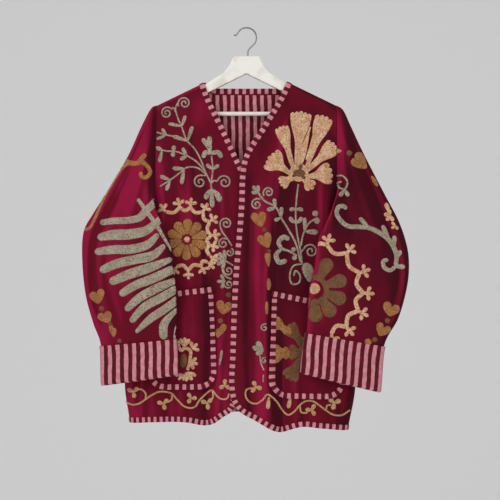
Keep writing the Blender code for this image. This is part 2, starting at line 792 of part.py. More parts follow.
def add_hanger_bar():
    bm = bmesh.new()
    bmesh.ops.create_cone(
        bm,
        cap_ends=True,
        segments=20,
        radius1=BAR_RADIUS * MM,
        radius2=BAR_RADIUS * MM,
        depth=2 * BAR_HALF_LENGTH * MM,
    )
    for vert in bm.verts:
        vert.co = Vector((vert.co.z, vert.co.y, -vert.co.x + BAR_Z * MM))
    add_object("hanger_bar", bm, WOOD, 0.45)


def hook_path():
    """Centre line of the hook: curled tip, round the crown, and an S down into the wood."""
    centre = -HOOK_RADIUS + WIRE
    tip = [(-29.5, centre + 7.5), (-28.6, centre + 5.6), (-26.6, centre + 5.2), (-24.6, centre + 6.6)]
    points = list(tip)
    for angle in np.radians(np.linspace(158, -46, 22)):
        points.append((HOOK_RADIUS * math.cos(angle), centre + HOOK_RADIUS * math.sin(angle)))
    start = np.array(points[-1])
    heading = np.array((math.sin(math.radians(-46)), -math.cos(math.radians(-46))))
    end = np.array((STEM_X, WOOD_TOP_Z + 6.0))
    for share in np.linspace(0, 1, 9)[1:]:
        a = start + heading * 13.0
        b = end + np.array((0.0, 10.0))
        keep = 1 - share
        point = keep**3 * start + 3 * keep**2 * share * a + 3 * keep * share**2 * b + share**3 * end
        points.append(tuple(point))
    points.append((STEM_X, WOOD_TOP_Z - STEM_IN_WOOD))
    return points


def add_hanger_hook():
    curve = bpy.data.curves.new("hanger_hook", "CURVE")
    curve.dimensions = "3D"
    curve.bevel_depth = WIRE * MM
    curve.bevel_resolution = 3
    curve.use_fill_caps = True
    points = hook_path()
    line = curve.splines.new("POLY")
    line.points.add(len(points) - 1)
    for slot, (x, z) in zip(line.points, points):
        slot.co = (x * MM, 0.0, z * MM, 1.0)
    hook = bpy.data.objects.new("hanger_hook", curve)
    bpy.context.scene.collection.objects.link(hook)
    material = bpy.data.materials.new("hanger_hook")
    material.use_nodes = True
    shader = material.node_tree.nodes["Principled BSDF"]
    shader.inputs["Base Color"].default_value = (*STEEL, 1.0)
    shader.inputs["Roughness"].default_value = 0.25
    shader.inputs["Metallic"].default_value = 1.0
    curve.materials.append(material)


def main():
    for obj in list(bpy.data.objects):
        bpy.data.objects.remove(obj)
    add_back()
    for side in (-1, 1):
        add_front(side)
        add_sleeve(side)
        add_cuff(side)
        add_pocket(side)
    add_hanger_body()
    add_hanger_bar()
    add_hanger_hook()


main()
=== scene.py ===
"""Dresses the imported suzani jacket: velvet, striped cotton, chain-stitch embroidery and the hanger.

Lengths are millimetres until they reach a mesh. The forms repeat the solids' shape, apart from finer
folds, fuller sleeve fronts and a left front that reaches a little further under the right one.
"""

from __future__ import annotations

import json
import logging
import math
import sys
from dataclasses import dataclass, field
from enum import Enum

import bmesh
import bpy
import numpy as np
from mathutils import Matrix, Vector
from mathutils.bvhtree import BVHTree

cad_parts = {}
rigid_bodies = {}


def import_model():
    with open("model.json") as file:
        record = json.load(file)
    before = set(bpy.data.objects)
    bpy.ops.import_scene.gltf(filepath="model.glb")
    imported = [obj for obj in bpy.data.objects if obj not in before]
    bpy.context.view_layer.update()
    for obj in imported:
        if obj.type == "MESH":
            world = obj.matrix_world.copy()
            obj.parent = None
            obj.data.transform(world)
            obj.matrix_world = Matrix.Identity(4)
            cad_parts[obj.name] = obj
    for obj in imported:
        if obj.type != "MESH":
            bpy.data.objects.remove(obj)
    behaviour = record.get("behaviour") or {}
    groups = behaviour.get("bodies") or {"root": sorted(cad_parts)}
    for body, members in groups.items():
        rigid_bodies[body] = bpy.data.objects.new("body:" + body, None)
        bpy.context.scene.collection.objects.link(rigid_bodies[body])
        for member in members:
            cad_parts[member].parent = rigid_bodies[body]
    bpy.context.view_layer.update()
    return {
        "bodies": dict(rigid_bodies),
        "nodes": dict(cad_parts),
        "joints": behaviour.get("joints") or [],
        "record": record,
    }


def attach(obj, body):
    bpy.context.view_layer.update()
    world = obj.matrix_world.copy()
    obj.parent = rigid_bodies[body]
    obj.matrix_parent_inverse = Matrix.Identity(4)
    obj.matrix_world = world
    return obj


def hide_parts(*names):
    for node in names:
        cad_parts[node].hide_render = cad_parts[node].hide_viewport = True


LOG = logging.getLogger("suzani_jacket")
MM = 0.001
Points = np.ndarray
Scale = tuple[float, float, float]
Socket = bpy.types.NodeSocket
Piece = bpy.types.Object
Finish = bpy.types.Material


class Panel(Enum):
    """The three velvet panels of the body."""

    LEFT = "left_front"
    RIGHT = "right_front"
    BACK = "back"


WORDS = {-1: "left", 1: "right"}
FRONTS = {-1: Panel.LEFT, 1: Panel.RIGHT}


class Thread(Enum):
    """The colours of embroidery thread."""

    GREY = "grey_green"
    PEACH = "peach"
    OCHRE = "ochre"
    BROWN = "brown"
    TAN = "tan"


def spline(knots: Points, values: Points, at: Points) -> Points:
    """Smooth curve through rows of values.

    Args:
        knots: the places of the rows, rising or falling.
        values: one row for each knot.
        at: where the curve is wanted.

    Returns:
        The values there, held at the ends.
    """
    knots = np.asarray(knots, float)
    values = np.asarray(values, float)
    if knots[0] > knots[-1]:
        knots = knots[::-1]
        values = values[::-1]
    at = np.clip(np.asarray(at, float), knots[0], knots[-1])
    slopes = np.gradient(values, knots, axis=0)
    span = np.clip(np.searchsorted(knots, at, side="right") - 1, 0, len(knots) - 2)
    width = knots[span + 1] - knots[span]
    u = (at - knots[span]) / width
    if values.ndim > 1:
        u = u[..., None]
        width = width[..., None]
    start = (1 + 2 * u) * (1 - u) ** 2 * values[span] + u * (1 - u) ** 2 * width * slopes[span]
    end = u * u * (3 - 2 * u) * values[span + 1] + u * u * (u - 1) * width * slopes[span + 1]
    return start + end


def ease(value: Points) -> Points:
    """Smooth step from 0 to 1."""
    value = np.clip(value, 0.0, 1.0)
    return value * value * (3 - 2 * value)


def unit(vectors: Points) -> Points:
    """Vectors of length one."""
    return vectors / np.maximum(np.linalg.norm(vectors, axis=-1, keepdims=True), 1e-9)


def lengths(line: Points) -> Points:
    """How far along a line each of its points lies."""
    return np.concatenate([[0], np.cumsum(np.linalg.norm(np.diff(line, axis=0), axis=1))])


def on_line(line: Points, even: Points) -> Points:
    """Points of a flat line at given lengths along it."""
    along = lengths(line)
    return np.stack([np.interp(even, along, line[:, k]) for k in (0, 1)], axis=-1)


def eased(line: Points, times: int) -> Points:
    """A line with its inner points moved towards the middle of their neighbours, some times over."""
    for _ in range(times):
        line[1:-1] = (line[:-2] + 2 * line[1:-1] + line[2:]) / 4
    return line


def square_to(line: Points) -> Points:
    """Unit vectors square to a flat line, a quarter turn left of its heading."""
    heading = unit(np.gradient(line, axis=0))
    return np.stack([-heading[:, 1], heading[:, 0]], axis=-1)


@dataclass(frozen=True)
class Fold:
    """A soft ridge or trough along a curved line, in x and z."""

    x0: float
    z0: float
    x1: float
    z1: float
    x2: float
    z2: float
    width: float
    height: float
    run: float = 110.0

    def at(self, x: Points, z: Points) -> Points:
        """Height of the fold at points seen from the front."""
        line = spline([self.z2, self.z1, self.z0], [self.x2, self.x1, self.x0], z)
        rise = ease((self.z0 - z) / self.run)
        fall = ease((z - self.z2 + 1.2 * self.run) / self.run)
        return self.height * rise * fall * np.exp(-(((x - line) / self.width) ** 2))


FOLDS: dict[Panel, list[Fold]] = {
    Panel.LEFT: [
        Fold(-132, -330, -122, -470, -118, -680, 26, 6.0),
        Fold(-66, -560, -72, -740, -82, -960, 26, -5.0),
        Fold(-36, -700, -38, -830, -42, -960, 24, 2.0),
        Fold(-188, -560, -200, -740, -215, -960, 30, 4.0),
    ],
    Panel.RIGHT: [
        Fold(18, -300, 16, -600, 24, -950, 20, -4.5),
        Fold(118, -190, 66, -440, 50, -960, 27, 6.0),
        Fold(88, -700, 92, -860, 95, -980, 26, -4.0),
        Fold(160, -330, 165, -450, 160, -600, 30, -4.0),
        Fold(150, -700, 175, -850, 190, -980, 30, 4.0),
    ],
    Panel.BACK: [
        Fold(-130, -260, -140, -560, -165, -960, 30, 5.0),
        Fold(-60, -330, -66, -640, -80, -960, 26, -5.0),
        Fold(10, -300, 14, -640, 10, -960, 30, 5.5),
        Fold(84, -360, 90, -660, 104, -960, 24, -5.0),
        Fold(150, -300, 160, -640, 185, -960, 30, 5.0),
    ],
}

# Finer creases that the velvet takes over the folds
CREASES: dict[Panel, list[Fold]] = {
    Panel.LEFT: [
        Fold(-150, -190, -138, -300, -132, -420, 9, 1.3, 70),
        Fold(-182, -260, -170, -380, -158, -500, 11, -1.4, 70),
        Fold(-96, -300, -92, -420, -98, -560, 9, -1.2, 70),
        Fold(-62, -330, -52, -440, -50, -600, 8, 1.1, 80),
        Fold(-110, -480, -104, -600, -100, -720, 7, 1.2, 60),
        Fold(-84, -620, -88, -760, -94, -900, 8, -1.5, 70),
        Fold(-60, -720, -62, -840, -68, -950, 7, 1.3, 60),
        Fold(-140, -640, -146, -780, -150, -900, 10, 1.2, 80),
        Fold(-44, -560, -46, -650, -44, -760, 7, -0.9, 60),
        Fold(-240, -800, -246, -870, -250, -950, 9, 1.4, 60),
        Fold(-176, -780, -186, -870, -190, -950, 9, -1.3, 60),
    ],
    Panel.RIGHT: [
        Fold(112, -170, 88, -290, 70, -420, 7, 1.8, 70),
        Fold(96, -250, 76, -360, 60, -520, 6, -1.3, 70),
        Fold(66, -420, 50, -600, 48, -800, 6, 1.9, 90),
        Fold(78, -460, 68, -640, 64, -760, 7, -1.2, 80),
        Fold(34, -420, 30, -560, 34, -720, 8, 1.1, 80),
        Fold(8, -380, 6, -520, 2, -700, 7, -1.0, 80),
        Fold(150, -200, 160, -300, 172, -420, 10, -1.2, 80),
        Fold(186, -240, 186, -340, 180, -440, 9, 1.2, 70),
        Fold(60, -740, 58, -860, 62, -975, 7, 1.7, 60),
        Fold(84, -780, 84, -880, 86, -975, 6, -2.0, 60),
        Fold(116, -760, 122, -870, 126, -970, 8, 1.2, 60),
        Fold(0, -760, 6, -850, 14, -950, 8, -1.2, 60),
        Fold(215, -860, 214, -900, 212, -965, 9, 1.5, 50),
    ],
    Panel.BACK: [
        Fold(-176, -220, -160, -400, -150, -600, 12, 1.4, 90),
        Fold(-96, -240, -90, -420, -96, -640, 10, -1.4, 90),
        Fold(-30, -200, -26, -380, -20, -560, 11, 1.2, 90),
        Fold(46, -260, 50, -420, 46, -620, 10, -1.3, 90),
        Fold(122, -230, 120, -400, 128, -560, 11, 1.3, 90),
        Fold(180, -300, 176, -460, 190, -660, 12, -1.4, 90),
        Fold(-200, -640, -210, -800, -224, -950, 10, 1.5, 70),
        Fold(-110, -660, -116, -800, -124, -950, 9, 1.4, 70),
        Fold(-38, -700, -44, -820, -46, -950, 9, -1.4, 70),
        Fold(52, -660, 58, -800, 64, -950, 10, 1.4, 70),
        Fold(140, -700, 146, -840, 150, -960, 10, -1.4, 70),
        Fold(214, -680, 222, -820, 226, -960, 10, 1.3, 70),
    ],
}


@dataclass(frozen=True)
class BodyForm:
    """The hung body: its outline and the depth of its three panels."""

    cloth: float = 2.0
    seam: float = 0.3
    neck_x: float = 101.0
    neck_z: float = -131.5
    shoulder_slope: float = 0.486
    tip_x: float = 216.0
    underarm_z: float = -437.0
    armhole_depth: float = 19.0
    roll_drop: float = 9.0
    front_roll: float = 10.5
    back_roll: float = 12.5
    edge_roll: float = 25.0
    front_depth: float = 22.0
    front_belly: float = 5.0
    back_depth: float = 19.0
    lap: float = 4.2
    lap_reach: float = 95.0
    belly_reach: float = 120.0
    hang_reach: float = 110.0
    roll_rows: int = 7
    turn_columns: int = 9
    front_columns: int = 110
    front_rows: int = 250
    back_rows: int = 220
    least_half: float = 1.6
    side_ease: float = 30.0
    hem_reach: float = 330.0
    hem_ease: float = 310.0
    hem_flat: float = 20.0
    scoop: float = 13.5
    scoop_ease: float = 22.0
    arm_columns: int = 22
    neck_columns: int = 30

    FRONT_EDGE = {
        -1: [
            # x, z
            (-103.0, -132.5), (-97.0, -151.0), (-55.0, -242.0), (-16.0, -326.0), (-4.0, -352.0),
            (-1.0, -380.0), (-2.0, -415.0), (-8.0, -499.0), (-15.0, -583.0), (-20.5, -690.0),
            (-24.0, -799.0), (-26.0, -860.0), (-26.0, -905.0),
        ],
        1: [
            (98.0, -130.0), (89.0, -151.0), (42.0, -233.0), (-8.0, -319.0), (-14.0, -355.0),
            (-16.0, -415.0), (-22.0, -499.0), (-29.0, -583.0), (-34.5, -690.0), (-38.0, -799.0),
            (-40.5, -850.0), (-38.0, -880.0), (-33.0, -900.0),
        ],
    }
    FRONT_HEM = {
        -1: [
            # distance from x = 0, z
            (26.0, -905.0), (35.0, -921.0), (52.0, -931.0), (83.0, -953.0), (100.0, -955.0),
            (136.0, -948.0), (208.0, -946.0), (281.0, -949.0),
        ],
        1: [
            (-33.0, -900.0), (-20.0, -918.0), (-4.0, -929.0), (23.0, -943.0), (56.0, -962.0),
            (80.0, -971.0), (104.0, -965.0), (128.0, -958.0), (176.0, -961.0), (244.0, -967.0),
        ],
    }
    BACK_HEM = [
        # x, z
        (-281.0, -949.0), (-150.0, -940.0), (-20.0, -926.0), (90.0, -932.0), (244.0, -967.0),
    ]
    SIDE_SEAM = {
        -1: [
            # z, distance from x = 0
            (-437.0, 220.0), (-487.0, 222.0), (-631.0, 241.0), (-751.0, 275.0), (-847.0, 293.0),
            (-949.0, 281.0),
        ],
        1: [
            (-437.0, 217.0), (-487.0, 220.0), (-631.0, 236.0), (-751.0, 253.0), (-862.0, 262.0),
            (-967.0, 244.0),
        ],
    }

    def shoulder_z(self, x: Points) -> Points:
        """Height of the shoulder line, carried on up to the middle inside the neck."""
        return self.neck_z - self.shoulder_slope * (np.abs(x) - self.neck_x)

    def outer_x(self, side: int, z: Points) -> Points:
        """Distance from x = 0 of the armhole line, and of the side seam below it."""
        seam = np.array(self.SIDE_SEAM[side])
        tip_z = self.shoulder_z(self.tip_x)
        down = (tip_z - z) / (tip_z - self.underarm_z)
        armhole = self.tip_x + (seam[0, 1] - self.tip_x) * down
        return np.where(z > self.underarm_z, armhole, spline(seam[:, 0], seam[:, 1], z))

    def seam_half(self, z: Points) -> Points:
        """Distance of a panel's outer edge from y = 0."""
        tip_z = self.shoulder_z(self.tip_x)
        down = np.clip((tip_z - z) / (tip_z - self.underarm_z), 0.0, 1.0)
        armhole = self.armhole_depth * 2 * np.sqrt(down * (1 - down))
        least = np.where(down > 0.5, self.least_half, self.seam)
        return np.where(z > self.underarm_z, np.maximum(armhole, least), self.seam)

    def depth(self, panel: Panel, x: Points, z: Points) -> Points:
        """Y of a panel's middle surface.

        Args:
            panel: the panel of the body.
            x: places across, seen from the front.
            z: heights.

        Returns:
            The surface's y at each place.
        """
        x = np.asarray(x, float)
        z = np.asarray(z, float)
        drop = np.maximum(self.shoulder_z(x) - z, 0.0)
        hang = ease((drop - self.roll_drop) / self.hang_reach)
        if panel is Panel.BACK:
            flat, roll = self.back_depth, self.back_roll
        else:
            flat = self.front_depth + self.front_belly * np.exp(-((x / self.belly_reach) ** 2))
            roll = self.front_roll
        rounding = np.clip(1 - drop / self.roll_drop, 0.0, 1.0)
        near = roll * np.sqrt(1 - rounding**2)
        deep = np.where(drop < self.roll_drop, near, roll + (flat - roll) * hang)
        for fold in FOLDS[panel] + CREASES[panel]:
            deep = deep + fold.at(x, z) * hang
        lap = {Panel.LEFT: -self.lap, Panel.RIGHT: self.lap, Panel.BACK: 0.0}[panel]
        deep = deep + lap * np.exp(-((x / self.lap_reach) ** 2)) * hang
        reach = np.where(x < 0, self.outer_x(-1, z), self.outer_x(1, z))
        inward = np.clip((reach - np.abs(x)) / self.edge_roll, 0.0, 1.0)
        below = ease((self.underarm_z - z) / self.side_ease)
        rounded = np.sqrt(1 - (1 - inward) ** 2)
        creased = 1 - (1 - inward) ** 2
        edge = self.seam_half(z)
        deep = edge + (deep - edge) * (below * rounded + (1 - below) * creased)
        return np.maximum(deep, self.seam) * (1 if panel is Panel.BACK else -1)

    def out_from(self, panel: Panel, x: Points, z: Points, distance: Points) -> Points:
        """Points at a distance outwards from a panel's middle surface."""
        step = 0.5
        y = self.depth(panel, x, z)
        slope_x = (self.depth(panel, x + step, z) - self.depth(panel, x - step, z)) / (2 * step)
        slope_z = (self.depth(panel, x, z + step) - self.depth(panel, x, z - step)) / (2 * step)
        sign = 1 if panel is Panel.BACK else -1
        normal = unit(np.stack([-sign * slope_x, np.full_like(y, sign), -sign * slope_z], axis=-1))
        return np.stack([x, y, z], axis=-1) + normal * np.asarray(distance)[..., None]

    @property
    def roll_drops(self) -> Points:
        """How far below the shoulder line the rows of its roll lie."""
        return self.roll_drop * (1 - np.cos(np.linspace(0, math.pi / 2, self.roll_rows)))

    @property
    def turn_widths(self) -> Points:
        """How far in from a panel's outer edge the columns of its turned side lie."""
        return self.edge_roll * (1 - np.sin(np.linspace(0, math.pi / 2, self.turn_columns)))

    def front_grid(self, side: int) -> Points:
        """Middle surface of one front.

        Args:
            side: -1 for the left front, 1 for the right.

        Returns:
            Points as rows from the shoulder to the hem, by columns from the edge out, by three.
        """
        edge = np.array(self.FRONT_EDGE[side])
        hem = np.array(self.FRONT_HEM[side])
        length = edge[0, 1] - edge[-1, 1]
        hanging = np.linspace(self.roll_drop, length, self.front_rows - self.roll_rows + 1)[1:]
        drops = np.concatenate([self.roll_drops, hanging])
        inner_z = edge[0, 1] - drops
        from_hem = length - drops
        tip_z = self.shoulder_z(self.tip_x)
        outer_length = tip_z - hem[-1, 1]
        sloped = tip_z - drops * outer_length / length
        outer_z = np.where(from_hem < self.hem_flat, hem[-1, 1] + from_hem, sloped)
        inner_x = spline(edge[:, 1], edge[:, 0], inner_z)
        side_x = side * self.outer_x(side, outer_z)
        turn = self.turn_widths
        flat_columns = self.front_columns - self.turn_columns + 1
        grid = []
        for x0, z0, x1, z1, rest in zip(inner_x, inner_z, side_x, outer_z, from_hem):
            span = abs(x1 - x0)
            flat_part = np.linspace(0, span - self.edge_roll, flat_columns)[:-1]
            share = np.concatenate([flat_part, span - turn]) / span
            x = x0 + (x1 - x0) * share
            z = z0 + (z1 - z0) * share
            hem_x = hem[0, 0] + (hem[-1, 0] - hem[0, 0]) * share
            line = hem[0, 1] + (hem[-1, 1] - hem[0, 1]) * share
            wave = spline(hem[:, 0], hem[:, 1], hem_x) - line
            waved = z + wave * ease((self.hem_reach - rest) / self.hem_ease)
            grid.append(np.stack([x, waved], axis=-1))
        flat = np.array(grid)
        x, z = flat[..., 0], flat[..., 1]
        z[0] = np.minimum(z[0], self.shoulder_z(x[0]))
        points = np.stack([x, self.depth(FRONTS[side], x, z), z], axis=-1)
        points[0, :, 1] = -self.seam
        return points

    def back_top(self, x: Points) -> Points:
        """Height of the back's upper edge: shoulder seams, and the neck scooped between them."""
        scoop = self.scoop * ease((self.neck_x - np.abs(x)) / self.scoop_ease)
        return np.where(np.abs(x) < self.neck_x, self.neck_z - scoop, self.shoulder_z(x))

    def back_grid(self) -> Points:
        """Middle surface of the back, rows from the top edge to the hem, columns left to right."""
        sides = self.tip_x - self.turn_widths[::-1]
        arm = np.linspace(sides[-1], self.neck_x, self.arm_columns)[1:]
        neck = np.linspace(self.neck_x, 0, self.neck_columns)[1:-1]
        half = np.concatenate([sides, arm, neck])
        top_x = np.concatenate([-half, [0.0], half[::-1]])
        hem = np.array(self.BACK_HEM)
        share = (top_x + self.tip_x) / (2 * self.tip_x)
        hem_z = spline(hem[:, 0], hem[:, 1], hem[0, 0] + (hem[-1, 0] - hem[0, 0]) * share)
        top_z = self.back_top(top_x)
        steps = self.roll_drops
        down = [top_z - step for step in steps]
        for part in np.linspace(0, 1, self.back_rows - self.roll_rows + 1)[1:]:
            down.append((top_z - steps[-1]) * (1 - part) + hem_z * part)
        z = np.array(down)
        left = -self.outer_x(-1, z)
        x = left + (self.outer_x(1, z) - left) * share
        points = np.stack([x, self.depth(Panel.BACK, x, z), z], axis=-1)
        points[0, np.abs(top_x) >= self.neck_x, 1] = self.seam
        return points


@dataclass(frozen=True)
class SleeveForm:
    """A hung sleeve as rings, and the cuff turned back over its end."""

    side: int
    points: int = 96
    bulge_rise: float = 1.3
    bulge_lift: float = 0.5
    boxy: float = 0.4
    boxy_rows: float = 3.0
    drift: float = 0.02
    fade_in: float = 1.6
    fade_out: float = 1.4

    # The outer edge T and the inner edge B of each ring: xT, zT, xB, zB, yT, yB, half depth, bulge
    ROWS = {
        -1: [
            (-216.8, -186.5, -221.2, -431.5, 0, 0, 19, 0),
            (-231, -196, -226, -444, -2, -12, 19, 7),
            (-255, -243, -226, -459, -4, -28, 18, 15),
            (-284, -308, -212, -478, -8, -42, 17, 18),
            (-327, -385, -191, -502, -14, -50, 16, 13),
            (-365, -445, -181, -535, -21, -54, 15, 7),
            (-389, -493, -176, -578, -29, -57, 14, 4),
            (-391, -564, -169, -619, -36, -59, 13, 2),
            (-382, -643, -167, -655, -42, -60, 12, 0),
            (-364, -708, -166, -691, -46, -60, 12, 0),
            (-345, -763, -169, -746, -48, -60, 12, 0),
            (-342, -853, -164, -827, -48, -60, 12, 0),
        ],
        1: [
            (216.8, -186.5, 218.7, -431.5, 0, 0, 19, 0),
            (233, -199, 224, -444, -2, -12, 19, 9),
            (252, -240, 224, -459, -4, -28, 18, 26),
            (283, -307, 208, -478, -8, -44, 17, 32),
            (331, -401, 185, -502, -14, -50, 16, 24),
            (365, -468, 171, -535, -21, -54, 15, 12),
            (384, -530, 163, -578, -29, -57, 14, 7),
            (387, -583, 153, -619, -36, -59, 13, 4),
            (379, -636, 148, -655, -42, -60, 12, 2),
            (360, -698, 146, -691, -46, -60, 12, 0),
            (326, -764, 143, -732, -48, -60, 12, 0),
            (316, -869, 131, -823, -48, -60, 12, 0),
        ],
    }
    # Soft folds along the sleeve: place round the front from T to B, first and last row, width, height
    RUNS = {
        -1: [
            (0.16, 1.0, 9.6, 0.035, 3.2),
            (0.27, 2.2, 8.5, 0.03, -2.6),
            (0.42, 0.6, 5.5, 0.045, 2.4),
            (0.60, 1.2, 6.5, 0.04, -2.4),
            (0.74, 0.5, 4.6, 0.035, 2.6),
            (0.86, 0.8, 4.2, 0.03, -2.2),
            (0.52, 6.0, 10.2, 0.05, 2.2),
            (0.80, 5.4, 10.0, 0.04, 2.2),
            (0.36, 5.5, 9.8, 0.03, -1.6),
            (1.30, 1.0, 6.0, 0.05, 2.6),
            (1.52, 2.0, 9.0, 0.05, -2.4),
            (1.70, 0.8, 7.0, 0.04, 2.4),
            (1.84, 3.0, 10.0, 0.04, 2.2),
        ],
        1: [
            (0.13, 1.4, 9.8, 0.035, 3.2),
            (0.22, 2.0, 9.0, 0.03, -2.8),
            (0.33, 0.8, 6.4, 0.04, 2.4),
            (0.50, 0.5, 5.2, 0.045, -2.2),
            (0.66, 0.4, 4.8, 0.04, 2.8),
            (0.80, 0.6, 4.6, 0.035, -2.6),
            (0.90, 1.4, 5.0, 0.03, 2.2),
            (0.58, 5.8, 10.0, 0.05, 2.0),
            (0.76, 6.4, 10.0, 0.035, -1.8),
            (1.24, 1.2, 6.5, 0.05, 2.6),
            (1.46, 2.2, 9.2, 0.05, -2.4),
            (1.66, 0.8, 7.5, 0.04, 2.4),
            (1.82, 3.2, 10.0, 0.04, 2.2),
        ],
    }

    def ring(self, row: float, widen: float = 0.0, along: float = 0.0) -> Points:
        """Points of one ring, from the outer edge T through the front to B and back behind.

        Args:
            row: place down the sleeve, as a row of the table.
            widen: how far the ring is moved out.
            along: how far it is moved down along the sleeve.

        Returns:
            The ring's points.
        """
        table = np.array(self.ROWS[self.side], float)
        xt, zt, xb, zb, yt, yb, half, bulge = spline(np.arange(len(table)), table, row)
        outer = np.array([xt, yt, zt])
        inner = np.array([xb, yb, zb])
        across = inner - outer
        across[1] = 0.0
        across = unit(across)
        axis = np.array([across[2], 0.0, -across[0]])
        if axis[2] > 0:
            axis = -axis
        angle = np.linspace(0, 2 * math.pi, self.points, endpoint=False)
        share = (1 - np.cos(angle)) / 2
        power = 1.0 - self.boxy * min(row / self.boxy_rows, 1.0)
        swell = np.sign(np.sin(angle)) * np.abs(np.sin(angle)) ** power
        points = outer + (inner - outer) * share[:, None] + axis * along
        points[:, 1] -= half * swell
        ahead = np.where(np.sin(angle) > 0, np.abs(np.sin(angle)) ** 0.5, 0.0)
        front = ahead * share**self.bulge_rise * bulge
        points[:, 0] -= self.side * front
        points[:, 1] -= self.bulge_lift * front
        out = self.ring_out(points, axis)
        return points + out * (widen + self.fold_at(row, angle / math.pi))[:, None]

    def fold_at(self, row: float, turn: Points) -> Points:
        """Height of the sleeve's folds round one ring; turn runs 0 to 2 from T round to T."""
        total = np.zeros_like(turn)
        for place, first, last, width, height in self.RUNS[self.side]:
            middle = place + self.drift * math.sin(1.3 * row + 5 * place)
            fade = ease((row - first) / self.fade_in) * ease((last - row) / self.fade_out)
            total = total + height * fade * np.exp(-(((turn - middle) / width) ** 2))
        return total

    @staticmethod
    def ring_out(points: Points, axis: Points) -> Points:
        """How far each point moves for the ring to widen by one, square to the sleeve's axis."""
        sides = unit(np.roll(points, -1, axis=0) - points)
        facing = unit(np.cross(sides, axis))
        middle = unit(facing + np.roll(facing, 1, axis=0))
        outwards = np.sum(middle * (points - points.mean(axis=0))) > 0
        return middle if outwards else -middle


@dataclass(frozen=True)
class PocketForm:
    """A patch pocket's outline on its front, seen from the front."""

    side: int
    inner_top: tuple[float, float]
    outer_top: tuple[float, float]
    inner_low: tuple[float, float]
    outer_low: tuple[float, float]
    corner: float = 46.0
    corner_steps: int = 14
    bottom_steps: int = 20

    def flat(self, across: Points, down: Points) -> Points:
        """X and z of places on the pocket, as shares across and down it."""
        inner_top, outer_top, inner_low, outer_low = (
            np.array(p, float) for p in (self.inner_top, self.outer_top, self.inner_low, self.outer_low)
        )
        height = inner_top[1] - inner_low[1]
        width = abs(outer_low[0] - inner_low[0])
        start = 1 - self.corner / height
        bend = np.clip((down - start) / (1 - start), 0.0, 1.0)
        narrow = (1 - np.sqrt(1 - bend**2)) * self.corner / width
        share = (narrow + (1 - 2 * narrow) * across)[..., None]
        top = inner_top * (1 - share) + outer_top * share
        low = inner_low * (1 - share) + outer_low * share
        return top * (1 - down)[..., None] + low * down[..., None]

    def rim(self, down: int) -> Points:
        """The edge from the inner end of the mouth, round the bottom, to its outer end."""
        turn = 1 - (self.corner / (self.inner_top[1] - self.inner_low[1])) * (
            1 - np.sin(np.linspace(0, math.pi / 2, self.corner_steps))
        )
        downs = np.concatenate([np.linspace(0, turn[0], down)[:-1], turn])
        zero = np.zeros_like(downs)
        inner = self.flat(zero, downs)
        steps = self.bottom_steps
        bottom = self.flat(np.linspace(0, 1, steps), np.ones(steps))[1:-1]
        outer = self.flat(zero + 1, downs)[::-1]
        return np.vstack([inner, bottom, outer])


POCKETS = (
    PocketForm(-1, (-83, -624), (-226, -642), (-70, -868), (-238, -868)),
    PocketForm(1, (61, -634), (224, -668), (52, -889), (236, -891)),
)


def surface_flat(points: Points) -> Points:
    """Lengths along a grid's rows and columns, in metres, from its first point.

    Args:
        points: rows by columns by three, millimetres.

    Returns:
        For each point, the length along its row and the length along its column.
    """
    across = np.zeros(points.shape[:2])
    down = np.zeros(points.shape[:2])
    across[:, 1:] = np.cumsum(np.linalg.norm(np.diff(points, axis=1), axis=-1), axis=1)
    down[1:] = np.cumsum(np.linalg.norm(np.diff(points, axis=0), axis=-1), axis=0)
    return np.stack([across, down], axis=-1) * MM


def grid_bmesh(points: Points, flat: Points, closed: bool) -> bmesh.types.BMesh:
    """A grid bent onto a surface.

    Args:
        points: rows by columns by three, millimetres.
        flat: the UV of each point.
        closed: whether the last column meets the first one.

    Returns:
        The bmesh, its faces pointing out where it is closed.
    """
    rows, columns = points.shape[:2]
    bm = bmesh.new()
    bmesh.ops.create_grid(bm, x_segments=columns - 1, y_segments=rows - 1, size=1.0)
    bm.verts.ensure_lookup_table()
    layer = bm.loops.layers.uv.new("flat")
    where = points.reshape(-1, 3) * MM
    uvs = flat.reshape(-1, 2)
    for face in bm.faces:
        for loop in face.loops:
            loop[layer].uv = uvs[loop.vert.index]
    for vert in bm.verts:
        vert.co = where[vert.index]
    if closed:
        bmesh.ops.remove_doubles(bm, verts=bm.verts, dist=1e-6)
        bmesh.ops.recalc_face_normals(bm, faces=bm.faces)
    return bm


def link_mesh(name: str, bm: bmesh.types.BMesh, material: Finish) -> Piece:
    """Makes a smooth-shaded object of a finished bmesh, and puts it on the body.

    Args:
        name: the piece's name.
        bm: its mesh, which is freed.
        material: its finish.

    Returns:
        The object, riding on the root body.
    """
    mesh = bpy.data.meshes.new(name)
    bm.to_mesh(mesh)
    bm.free()
    mesh.shade_smooth()
    mesh.materials.append(material)
    piece = bpy.data.objects.new(name, mesh)
    bpy.context.scene.collection.objects.link(piece)
    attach(piece, "root")
    LOG.info("%s: %d faces", name, len(mesh.polygons))
    return piece


@dataclass(frozen=True)
class Sewn:
    """A cloth piece: the nodes that it replaces, its cloth, its thickness and what holds it."""

    name: str
    nodes: tuple[str, ...]
    material: Finish
    slot: str
    thickness: float
    held: str
    rests_on: str
    closed: bool = False

    def build(self, points: Points, flat: Points | None = None) -> Piece:
        """Args:
            points: its middle surface, as rows by columns by three.
            flat: each point's place on the flat cloth, where that isn't the surface's own.

        Returns:
            The piece.
        """
        own = surface_flat(points)
        bm = grid_bmesh(points, own if flat is None else flat, self.closed)
        piece = link_mesh(self.name, bm, self.material)
        wall = piece.modifiers.new("cloth", "SOLIDIFY")
        wall.thickness = self.thickness * MM
        wall.offset = 0.0
        wall.use_even_offset = False
        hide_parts(*self.nodes)
        return piece


